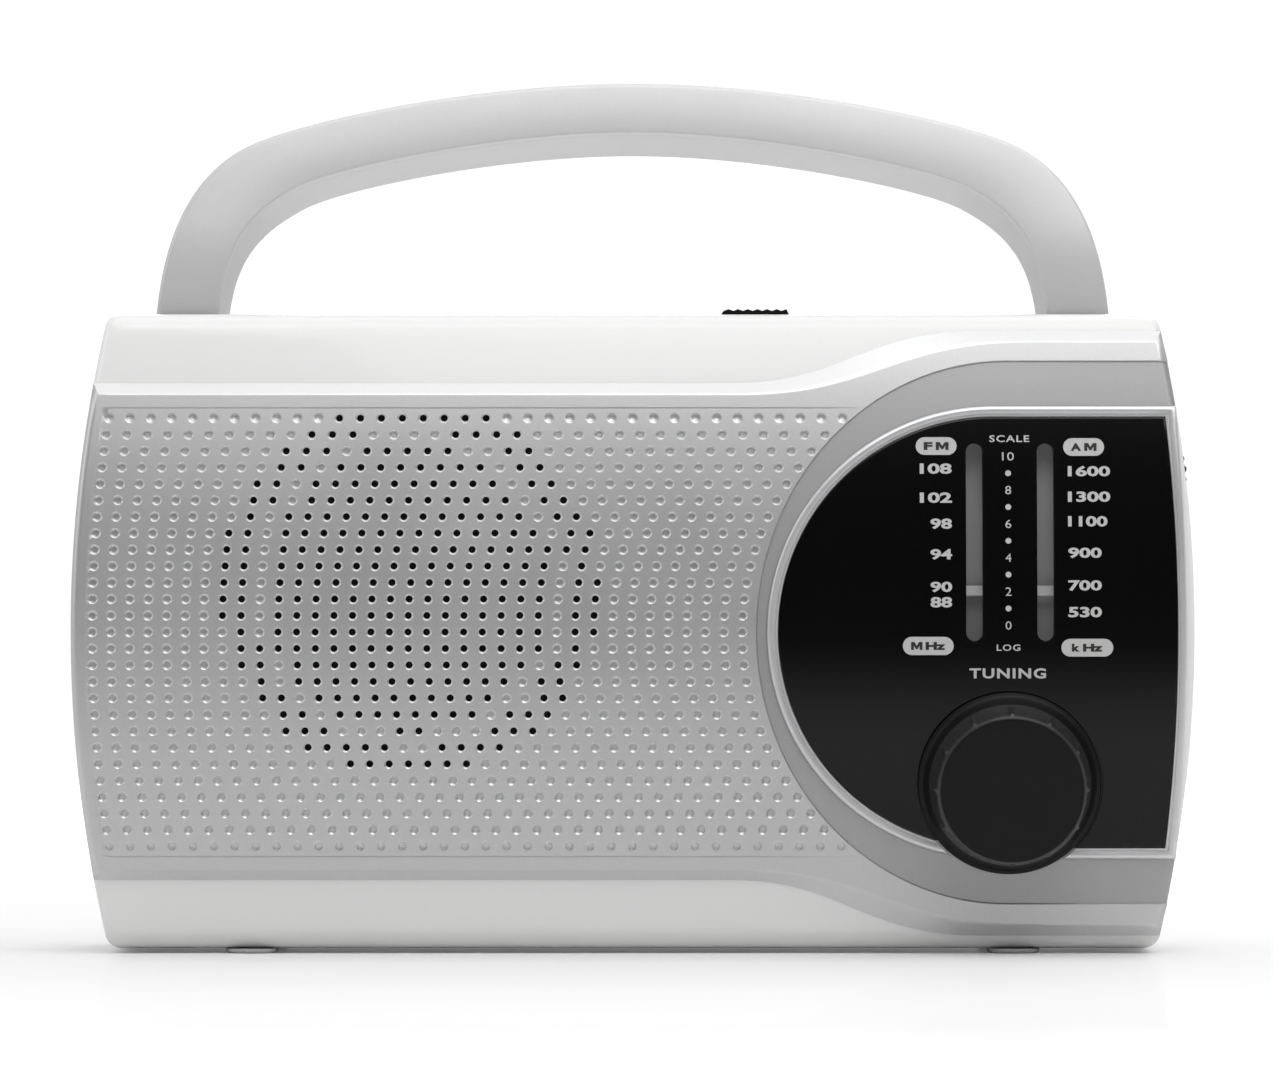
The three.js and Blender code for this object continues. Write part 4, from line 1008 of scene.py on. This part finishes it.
for first, second, x0, x1, z0, z1 in tabs:
    pale.tab(x0, x1, z0, z1)
    mid_z = (z0 + z1) / 2
    x = (x0 + x1 - first[1] - second[1] - letter_gap) / 2
    for letter, width in (first, second):
        if letter == "M":
            dark.flat([(x + u * width, mid_z + (v - 0.5) * letter_height) for u, v in bold_m])
        else:
            dark.letters(letter, x, mid_z, letter_height, width, "left", 0.05)
        x += width + letter_gap
pale_print = pale.print_on("dial_print_pale")
dark_print = dark.print_on("dial_print_dark")
pale_ink = surfaced("pale_ink", (0.50, 0.50, 0.495), (0.45, 0.55), tone=(60, 0.05), grain=(4000, 0.06))
dark_ink = surfaced("dark_ink", (0.012, 0.012, 0.012), (0.4, 0.5), tone=(60, 0.1), grain=(4000, 0.1))
dress(pale_print, pale_ink, "cabinet", "pointer_white")
dress(dark_print, dark_ink, "cabinet", "black_satin")


# ---- Tuning knob ----------------------------------------------------------------------------
# A turned-looking black moulding: a thin flange at the lens, a hollow-curved flank with twelve
# grip pips and a flat face. It is pressed on the spindle and tilts down slightly.
def lathe(name, profile, steps, place=None, shape=None, sharp=30):
    """Turns (radius, along) points about the local y axis; shape may alter a radius by angle."""
    points, faces, rows_of = [], [], []
    for radius, along in profile:
        if radius < 1e-6:
            rows_of.append([len(points)])
            points.append((0, along, 0))
            continue
        row = []
        for i in range(steps):
            turn = 2 * math.pi * i / steps
            r = shape(radius, along, turn) if shape else radius
            row.append(len(points))
            points.append((r * math.cos(turn), along, r * math.sin(turn)))
        rows_of.append(row)
    closed = profile[0][0] > 1e-6 and profile[-1][0] > 1e-6
    pairs = list(zip(rows_of, rows_of[1:])) + ([(rows_of[-1], rows_of[0])] if closed else [])
    for a, b in pairs:
        if len(a) == len(b) == 1:
            continue
        for i in range(steps):
            j = (i + 1) % steps
            corners = [a[i % len(a)], a[j % len(a)], b[j % len(b)], b[i % len(b)]]
            faces.append(tuple(dict.fromkeys(corners)))
    piece = mesh_piece(name, points, faces, sharp)
    if place:
        piece.data.transform(place)
    return piece


knob_length, knob_base, knob_face = 13.8, 18.6, 14.9


def pips(radius, along, turn):
    """Twelve small ribs on the flank just behind the face."""
    if not -knob_length + 0.8 < along < -6:
        return radius
    step = 2 * math.pi / 12
    off = abs((turn + step / 2) % step - step / 2)
    return radius + 0.4 * max(0, 1 - (off / 0.035) ** 2)


knob_profile = [(3.05, 0), (18.3, 0), (18.5, -0.1), (knob_base, -0.4), (knob_base, -0.9), (18.45, -1.2),
                (18.1, -1.35), (17.8, -1.45)]
for i in range(13):
    t = i / 12
    knob_profile.append((knob_face + 0.25 + 2.4 * (1 - t) ** 2.2, -1.7 - (knob_length - 3.1) * t))
knob_profile += [(knob_face + 0.3, -knob_length + 1.1), (knob_face + 0.25, -knob_length + 0.6),
                 (knob_face, -knob_length + 0.2), (knob_face - 0.4, -knob_length + 0.02),
                 (knob_face - 1, -knob_length), (9, -knob_length), (0, -knob_length)]
knob_inside = [(0, -knob_length + 2.9), (3.05, -knob_length + 2.9)]
knob = lathe("tuning_knob_turned", knob_profile + knob_inside + [(3.05, 0)], 288, knob_place, pips)
black_satin = surfaced("black_satin", (0.005, 0.005, 0.0052), (0.40, 0.48), tone=(40, 0.1),
                       grain=(3500, 0.3), relief=0.00002, specular=0.2)
# Painted sheen: the outer flank gets a lighter, glossier copy of the knob's black (colour 0.028 against
# 0.005), standing in for the light the flank catches.
painted_sheen_black = surfaced("black_satin_painted_sheen", (0.028, 0.028, 0.0285), (0.28, 0.34), tone=(40, 0.1),
                       grain=(3500, 0.2), relief=0.00001)
dress(knob, black_satin, "tuning", "black_satin", "tuning_knob")
knob.data.materials.append(painted_sheen_black)
to_knob = knob_place.inverted()
# The painted-sheen copy goes on the outer part of the flank, next to the face.
for polygon in knob.data.polygons:
    spot = to_knob @ polygon.center / MM
    if math.hypot(spot.x, spot.z) > knob_face - 0.3 and spot.y < -4:
        polygon.material_index = 1

# ---- Carry handle ---------------------------------------------------------------------------
# Two silver-painted half shells that snap together along a seam. The legs stand upright and the
# arch leans back above them; both halves turn on steel pins between the lugs.
arch_outer = [(98.4, 117), (98.4, 141.5), (93.3, 159.1), (78.1, 166.1), (66.9, 171.1), (32.4, 178.7),
              (0, 178.7)]
arch_inner = [(85.3, 117), (85.3, 140.3), (83.1, 149.4), (69, 157), (61.9, 160.7), (28.4, 168.4), (0, 168.4)]
arch_inner_rear = [(84.4, 117), (84.4, 138.3), (81.6, 146.4), (67.7, 153.7), (60.6, 157.4), (28.4, 164.6),
                   (0, 164.6)]
upright_to, lean_bend, bend_height = 138, 60, 12
handle_front, handle_seam, handle_rear = -13, -5, 7


def arch_point(edge, travel):
    """A point of an edge: travel runs from -1 at the left foot to 1 at the right."""
    climb = 1 - abs(travel)
    corners, t = (edge[:4], 2 * climb) if climb < 0.5 else (edge[3:], 2 * climb - 1)
    x, z = curve_point(corners, t)
    return Vector((-x if travel < 0 else x, z))


def lean(z):
    """How far back the handle leans at a height."""
    above = max(z - upright_to, 0)
    if above < bend_height:
        return above ** 2 / (2 * lean_bend)
    return bend_height ** 2 / (2 * lean_bend) + (above - bend_height) * bend_height / lean_bend


def rounded_corner(centre_a, centre_y, radius, first, second, steps=5):
    """Points round a corner of the section, from one direction to the other."""
    return [(centre_a + radius * math.cos(first + (second - first) * i / steps),
             centre_y + radius * math.sin(first + (second - first) * i / steps)) for i in range(steps + 1)]


def handle_shell(name, face, seam, inner_edge, steps=120):
    """One half of the handle: a thin channel swept along the arch, open at the seam."""
    toward = 1 if seam > face else -1
    shell = 2.2
    quarter = math.pi / 2
    rings = []
    for i in range(steps + 1):
        travel = -1 + 2 * i / steps
        outer = arch_point(arch_outer, travel)
        near = arch_point(arch_inner, travel)
        away = arch_point(inner_edge, travel)
        length = (near - outer).length
        radius, small = 0.9, 0.5
        section = [(0, seam)]
        section += rounded_corner(radius, face + toward * radius, radius, math.pi, math.pi + toward * quarter)
        section += [(length * 0.5, face)]
        section += rounded_corner(length - small, face + toward * small, small,
                                  -toward * quarter, 0, 4)
        section += [(length, seam), (length - shell, seam), (length - shell, face + toward * shell),
                    (shell, face + toward * shell), (shell, seam)]
        ring = []
        for across, y in section:
            share = (y - seam) / (face - seam)
            inner = near.lerp(away, max(0, min(1, share)))
            spot = outer.lerp(inner, across / length)
            tuck = min(spot.y - upright_to, 0) ** 2 / (2 * lean_bend) if face < seam else 0
            tuck *= max(0, min(1, (handle_seam - y) / 3))
            ring.append((spot.x, pivot_y + y + lean(spot.y) + tuck, spot.y))
        rings.append(ring)
    return swept(name, rings, 32)


handle_front_shell = handle_shell("handle_front_half", handle_front, handle_seam - 0.1, arch_inner)
handle_rear_shell = handle_shell("handle_rear_half", handle_rear, handle_seam + 0.1, arch_inner_rear)
leg_corner = block(-far, far, pivot_y, pivot_y + 30, 100, pivot_z)
carve(leg_corner, prism(round_outline(pivot_y, pivot_z, 7.15, steps=64), "x", -far - 5, far + 5))
carve(handle_rear_shell, leg_corner, prism(round_outline(pivot_y, pivot_z, 2.3, steps=24), "x", -far, far),
      sharp=32)
handle_paint = surfaced("handle_silver", (0.60, 0.60, 0.605), (0.4, 0.48), metallic=0.35, tone=(18, 0.02),
                        grain=(3200, 0.08), relief=0.00002)
dress(handle_front_shell, handle_paint, "handle", "handle_silver", "handle_front_shell")
dress(handle_rear_shell, handle_paint, "handle", "handle_silver", "handle_rear_shell")

# ---- Battery door ---------------------------------------------------------------------------
# A white plate that closes the battery well at the back: eased edges, a finger recess with grip
# lines below it, and a thinned lower edge on which it tilts out.
def eased_plate(name, outline_of, levels):
    """A plate from outlines drawn in by (inset, y) steps."""
    return swept(name, [[(x, y, z) for x, z in outline_of(inset)] for inset, y in levels], 30)


def rounded_box(x0, x1, z0, z1, radius, inset, steps=8):
    """A rectangle with round corners, drawn in by the inset."""
    ring = []
    for cx, cz, start in ((x1 - radius, z1 - radius, 0), (x0 + radius, z1 - radius, 1),
                          (x0 + radius, z0 + radius, 2), (x1 - radius, z0 + radius, 3)):
        for i in range(steps + 1):
            turn = math.pi / 2 * (start + i / steps)
            ring.append((cx + (radius - inset) * math.cos(turn), cz + (radius - inset) * math.sin(turn)))
    return ring


door_gap, door_thick = 0.3, 2.2
door_corner = 1.5


def door_outline(inset):
    return rounded_box(door_low.x + door_gap, door_high.x - door_gap,
                       door_low.z + door_gap, door_high.z - door_gap, door_corner, inset)


battery_door = eased_plate("battery_door_plate", door_outline, [
    (0, back - door_thick), (0, back - 0.5), (0.12, back - 0.2), (0.45, back - 0.02)])
finger_recess = block(-16, 4, back - 0.9, far, door_high.z - 6, door_high.z - 3)
thinned_edge = block(-far, far, 0, back - 1.2, 0, door_low.z + 1.1)
carve(battery_door, finger_recess, thinned_edge)
grip_lines, line_pitch, line_half, line_depth = 5, 1.6, 0.35, 0.45
for line in range(grip_lines):
    z = door_high.z - 8.5 - line_pitch * line
    carve(battery_door, block(-14 + line, 2 - line, back - line_depth, far, z - line_half, z + line_half))
dress(battery_door, white_plastic, "door", "white_plastic", "battery_door")

# ---- Feet -----------------------------------------------------------------------------------
# Four pale grey rubber discs under the corners, moulded with an eased edge. Each is glued into
# place.
upwards = Matrix.Rotation(math.pi / 2, 4, "X")
foot_radius, foot_height = 5.35, 0.92
foot_profile = [(0, 0), (foot_radius - 0.65, 0), (foot_radius - 0.25, 0.12), (foot_radius, 0.4),
                (foot_radius, foot_height), (0, foot_height)]
rubber = surfaced("rubber", (0.42, 0.42, 0.42), (0.75, 0.9), tone=(80, 0.2), grain=(2500, 0.4),
                  relief=0.00005)
for number in range(1, 5):
    foot_low, foot_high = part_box(f"foot_{number}")
    foot_place = Matrix.Translation(((foot_low.x + foot_high.x) / 2, (foot_low.y + foot_high.y) / 2, 0))
    foot = lathe(f"foot_{number}_rubber", foot_profile, 48, foot_place @ upwards)
    dress(foot, rubber, "cabinet", "rubber", f"foot_{number}")

# ---- Band switch slider ---------------------------------------------------------------------
# A ribbed black thumb piece on top of the rim, moulded in one with its stem. The stem reaches down
# through the slot into the switch.
slider_mid = (slider_low.x + slider_high.x) / 2
slider_side, slider_inset, tooth_count, tooth_margin, tooth_depth, stem_height = 0.1, 0.05, 14, 0.6, 0.4, 3.6
stem_half, stem_front, stem_rear = 2, -14.6, -12.6
teeth = [(slider_low.x + slider_side, top + slider_inset)]
for i in range(tooth_count):
    x = (slider_low.x + tooth_margin
         + i * (slider_high.x - slider_low.x - 2 * tooth_margin) / (tooth_count - 1))
    teeth.append((x, slider_high.z - (slider_inset if i % 2 else tooth_depth)))
teeth += [(slider_high.x - slider_side, top + slider_inset),
          (slider_high.x - slider_side, slider_low.z + stem_height),
          (slider_low.x + slider_side, slider_low.z + stem_height)]
slider = prism(teeth, "y", slider_low.y + slider_inset, slider_high.y - slider_inset)
slider.name = "band_switch_thumb"
carve(slider, block(slider_mid - stem_half, slider_mid + stem_half, stem_front, stem_rear,
                    slider_low.z + slider_inset, slider_low.z + 4.2), operation="UNION")
dress(slider, black_satin, "band_switch", "black_satin", "band_switch_slider")

# ---- Volume thumbwheel ----------------------------------------------------------------------
# A moulded black wheel with thirty flutes, fixed on the volume control's shaft. Its rim stands out
# through the slot in the right end.
wheel_front, wheel_rear, flute_count, flute_depth = wheel_low.y, wheel_high.y, 30, 0.22


def flutes(radius, along, turn):
    """Draws the rim in at each flute."""
    return radius - (flute_depth * (1 + math.cos(flute_count * turn)) if radius > 9 else 0)


wheel_place = Matrix.Translation((wheel_x * MM, 0, wheel_z * MM))
wheel = lathe("volume_thumbwheel_fluted",
              [(1.6, wheel_front), (9.5, wheel_front), (10.6, wheel_front + 0.1), (10.95, wheel_front + 0.5),
               (10.95, wheel_rear - 0.5), (10.6, wheel_rear - 0.1), (9.5, wheel_rear), (1.6, wheel_rear)],
              360, wheel_place, flutes)
dress(wheel, black_satin, "volume", "black_satin", "volume_thumbwheel")

# ---- Telescopic antenna ---------------------------------------------------------------------
# Four chromed brass tubes that slide into each other, a turned tip, and a forked steel swivel
# that turns in the ledge and lets the mast tilt.
mast_z, tube_end, antenna_length = 111.4, 99.1, 150
sideways = Matrix.Translation((0, mast_y * MM, mast_z * MM)) @ Matrix.Rotation(-math.pi / 2, 4, "Z")
chrome = surfaced("antenna_chrome", (0.66, 0.66, 0.67), (0.08, 0.14), metallic=1.0, tone=(40, 0.03),
                  grain=(2500, 0.03), relief=0.000004)
steel = surfaced("plated_steel", (0.50, 0.51, 0.52), (0.25, 0.38), metallic=1.0, tone=(60, 0.08),
                 grain=(3000, 0.1))


def knuckle_outline(inset, steps=16, knuckle_radius=2.6):
    """The flat tongue at the foot of the thickest tube, round about the tilting pin."""
    radius = knuckle_radius - inset
    nose = [(mast_x + radius * math.sin(math.pi * i / steps), mast_z - radius * math.cos(math.pi * i / steps))
            for i in range(steps + 1)]
    return [(tube_end - 2, mast_z - radius), *nose, (tube_end - 2, mast_z + radius)]


for number, (outer, inner) in enumerate(((3, 2.6), (2.5, 2.1), (2, 1.6), (1.5, 0))):
    start = tube_end - antenna_length - 1.2 * number
    end = tube_end - 1.5 - 1.5 * number
    profile = [(outer - 0.12, start), (outer - 0.12, start + 0.5), (outer, start + 0.8), (outer, end - 0.3),
               (outer - 0.25, end), (0, end)]
    if inner:
        profile = [(inner, start)] + profile + [(0, end - 1.1), (inner, end - 1.1)]
    else:
        profile = [(0, start - 4), (1.6, start - 4), (2.5, start - 3.7), (2.95, start - 3),
                   (2.95, start - 1.2), (2.6, start - 0.4), (1.5, start)] + profile[2:]
    section = lathe(f"antenna_tube_{number + 1}", profile, 40, sideways)
    if number == 0:
        knuckle = eased_plate("cutter", knuckle_outline, [(0.25, mast_y - 1.3), (0, mast_y - 1.05),
                                                          (0, mast_y + 1.05), (0.25, mast_y + 1.3)])
        carve(section, knuckle, operation="UNION")
    dress(section, chrome, f"antenna_tube_{number + 1}", "antenna_chrome", f"antenna_section_{number + 1}")
swivel_place = Matrix.Translation((mast_x * MM, mast_y * MM, 0)) @ upwards
swivel_profile = [(0, ledge - 5), (2.3, ledge - 5), (2.5, ledge - 4.8), (2.5, ledge + 0.3),
                  (3.9, ledge + 0.3), (3.9, mast_z + 2.5), (3.6, mast_z + 2.9), (0, mast_z + 3)]
swivel = lathe("antenna_swivel_fork", swivel_profile, 40, swivel_place)
fork_gap = 1.6
carve(swivel, block(mast_x - 5, mast_x + 5, mast_y - fork_gap, mast_y + fork_gap, ledge + 1.2, far))
dress(swivel, steel, "antenna_base", "steel", "antenna_swivel")

# ---- Case screws ----------------------------------------------------------------------------
# Plated steel pan-head screws with a cross slot, deep in the tunnels of the rear cover. They cut
# their own thread in the front cabinet.
threads, thread_pitch, cross_long, cross_thin = 12, 1.1, 1.7, 0.35
screw_profile = [(0, parting - 10)]
for turn in range(threads):
    screw_profile += [(1.1, parting - 9.4 + turn * thread_pitch), (1.4, parting - 8.9 + turn * thread_pitch)]
screw_profile += [(1.2, parting + 4.1), (3.05, parting + 4.1), (3.05, parting + 5.2), (2.5, parting + 6),
                  (0, parting + 6.25)]
for number, (x, z) in enumerate(screw_places, 1):
    screw = lathe(f"case_screw_{number}_pan", screw_profile, 32, Matrix.Translation((x * MM, 0, z * MM)))
    slot_floor = parting + 5
    carve(screw, block(x - cross_long, x + cross_long, slot_floor, far, z - cross_thin, z + cross_thin),
          block(x - cross_thin, x + cross_thin, slot_floor, far, z - cross_long, z + cross_long))
    dress(screw, steel, "cabinet", "steel", f"case_screw_{number}")

# ---- Battery springs ------------------------------------------------------------------------
# Tapered coils of plated spring wire at one end of the well. They press the cells against the
# contact plate at the other end.
spring_turns, spring_wire, wire_sides, coil_steps = 3.5, 0.42, 10, 140
spring_start, spring_reach, wide_coil, taper = -59.2, 5, 6, 2.5
spring_y = (well_floor + back - door_thick) / 2
wire_turns = [k * 2 * math.pi / wire_sides for k in range(wire_sides)]
for number, spring_z in enumerate((20.8, 47.4), 1):
    path = []
    for i in range(coil_steps + 1):
        t = i / coil_steps
        angle, radius = t * spring_turns * 2 * math.pi, wide_coil - taper * t
        path.append(Vector((spring_start + spring_reach * t, spring_y - radius * math.sin(angle),
                            spring_z - radius * math.cos(angle))))
    rings = []
    for i, spot in enumerate(path):
        ahead = (path[min(i + 1, coil_steps)] - path[max(i - 1, 0)]).normalized()
        side = ahead.cross(Vector((1, 0, 0))).normalized()
        over = ahead.cross(side)
        rings.append([tuple(spot + spring_wire * (side * math.cos(turn) + over * math.sin(turn)))
                      for turn in wire_turns])
    spring = swept(f"battery_spring_{number}_wire", rings, 60)
    dress(spring, steel, "cabinet", "steel", f"battery_spring_{number}")


# ---- Works inside the case ------------------------------------------------------------------
# The dial works, loudspeaker, boards, transformer, sockets and pins keep their engineering shape
# and get the finish of the real thing: plated, moulded, wound, woven or stacked.
def bands_group():
    """Shared surface of fine stripes of two colours, for windings, stacked sheets and weaves."""
    group = bpy.data.node_groups.new("striped_surface", "ShaderNodeTree")
    face = group.interface
    face.new_socket("First Colour", in_out="INPUT", socket_type="NodeSocketColor")
    face.new_socket("Second Colour", in_out="INPUT", socket_type="NodeSocketColor")
    for name in ("Along", "Across"):
        face.new_socket(name, in_out="INPUT", socket_type="NodeSocketFloat")
    face.new_socket("Colour", in_out="OUTPUT", socket_type="NodeSocketColor")
    face.new_socket("Height", in_out="OUTPUT", socket_type="NodeSocketFloat")
    nodes, links = group.nodes, group.links
    given, result = nodes.new("NodeGroupInput"), nodes.new("NodeGroupOutput")
    place = nodes.new("ShaderNodeTexCoord")
    apart = nodes.new("ShaderNodeSeparateXYZ")
    links.new(place.outputs["Object"], apart.inputs[0])
    waves = []
    for axis, scale in (("X", "Along"), ("Z", "Across")):
        times = math_node(group, "MULTIPLY", apart.outputs[axis], given.outputs[scale])
        waves.append(math_node(group, "SINE", times))
    ramp = nodes.new("ShaderNodeMapRange")
    ramp.inputs["From Min"].default_value = -1
    links.new(math_node(group, "ADD", *waves), ramp.inputs["Value"])
    mix = nodes.new("ShaderNodeMix")
    mix.data_type = "RGBA"
    links.new(ramp.outputs["Result"], mix.inputs["Factor"])
    links.new(given.outputs["First Colour"], mix.inputs["A"])
    links.new(given.outputs["Second Colour"], mix.inputs["B"])
    links.new(mix.outputs["Result"], result.inputs["Colour"])
    links.new(ramp.outputs["Result"], result.inputs["Height"])
    return group


striped_surface = bands_group()


def striped(name, first, second, along, across=0, roughness=0.5, metallic=0.0, relief=0.0001):
    """A material on the shared stripes: along and across are how closely they follow each other."""
    material = bpy.data.materials.new(name)
    material.use_nodes = True
    nodes, links = material.node_tree.nodes, material.node_tree.links
    shader = nodes["Principled BSDF"]
    shader.inputs["Roughness"].default_value = roughness
    shader.inputs["Metallic"].default_value = metallic
    surface = nodes.new("ShaderNodeGroup")
    surface.node_tree = striped_surface
    surface.inputs["First Colour"].default_value = (*first, 1)
    surface.inputs["Second Colour"].default_value = (*second, 1)
    surface.inputs["Along"].default_value = along
    surface.inputs["Across"].default_value = across
    links.new(surface.outputs["Colour"], shader.inputs["Base Color"])
    bump = nodes.new("ShaderNodeBump")
    bump.inputs["Distance"].default_value = relief
    links.new(surface.outputs["Height"], bump.inputs["Height"])
    links.new(bump.outputs["Normal"], shader.inputs["Normal"])
    return material


def finish_nodes(material, *names):
    """Gives engineering parts that keep their shape the finish of the real thing."""
    for name in names:
        for place in frame["nodes"][name].material_slots:
            place.link = "OBJECT"
            place.material = material


finish_nodes(steel, "pointer_rail", "idler_pin", "handle_pin_left", "handle_pin_right", "inlet_pin_1",
             "inlet_pin_2", "battery_contact_plate", "band_switch_body", "speaker_screw_1",
             "speaker_screw_2", "speaker_screw_3", "volume_control", "speaker_basket")
finish_nodes(surfaced("dial_grey", (0.55, 0.55, 0.55), (0.5, 0.6), grain=(3000, 0.08)), "dial_backing_plate")
finish_nodes(surfaced("pointer_white", (0.80, 0.80, 0.79), (0.4, 0.5)), "tuning_pointer")
finish_nodes(surfaced("pulley_plastic", (0.68, 0.65, 0.57), (0.4, 0.5), grain=(2000, 0.05)),
             "idler_pulley", "cord_drum")
finish_nodes(surfaced("turned_brass", (0.62, 0.46, 0.20), (0.2, 0.32), metallic=1.0, tone=(90, 0.1)),
             "tuning_spindle", "spindle_bush")
finish_nodes(surfaced("socket_black", (0.012, 0.012, 0.012), (0.3, 0.42), tone=(50, 0.15), grain=(2600, 0.2)),
             "mains_inlet", "headphone_jack")
finish_nodes(surfaced("magnet_ferrite", (0.03, 0.03, 0.032), (0.6, 0.75), tone=(120, 0.3), grain=(1500, 0.5),
                      relief=0.00008), "ferrite_rod", "speaker_magnet")
finish_nodes(surfaced("speaker_paper", (0.03, 0.03, 0.03), (0.8, 0.95), tone=(150, 0.3), grain=(900, 0.4),
                      relief=0.0002), "speaker_cone", "speaker_dust_cap")
finish_nodes(surfaced("circuit_board", (0.30, 0.17, 0.06), (0.45, 0.6), tone=(60, 0.15), grain=(1200, 0.15)),
             "main_board", "tuning_board")
finish_nodes(surfaced("component_plastic", (0.35, 0.42, 0.45), (0.25, 0.4), tone=(80, 0.1)),
             "tuning_capacitor")
finish_nodes(striped("dial_cord_twist", (0.55, 0.52, 0.42), (0.32, 0.30, 0.24), 0, 9000, 0.8), "dial_cord")
finish_nodes(striped("coil_wire", (0.60, 0.24, 0.08), (0.30, 0.10, 0.03), 12000, 0, 0.3, 0.8),
             "antenna_coil")
finish_nodes(striped("winding_tape", (0.62, 0.50, 0.08), (0.48, 0.38, 0.05), 0, 900, 0.4),
             "transformer_winding")
finish_nodes(striped("laminations", (0.16, 0.16, 0.17), (0.05, 0.05, 0.055), 0, 12000, 0.4, 0.7),
             "transformer_core")

# ---- Grille cloth ---------------------------------------------------------------------------
# A thin black woven disc behind the sound holes, stretched over the loudspeaker opening and glued
# round its rim.
cloth_ring = round_outline(speaker_x, speaker_z, 40.4, steps=72)
grille_cloth = inlay("grille_cloth_woven", [[(x, z, 0) for x, z in cloth_ring],
                                            [(x, z, 0.4) for x, z in cloth_ring]], lift=1.65, step=4)
cloth_weave = striped("grille_cloth_weave", (0.010, 0.010, 0.010), (0.003, 0.003, 0.003), 7000, 7000, 0.9)
dress(grille_cloth, cloth_weave, "cabinet", "grille_cloth", "grille_cloth")
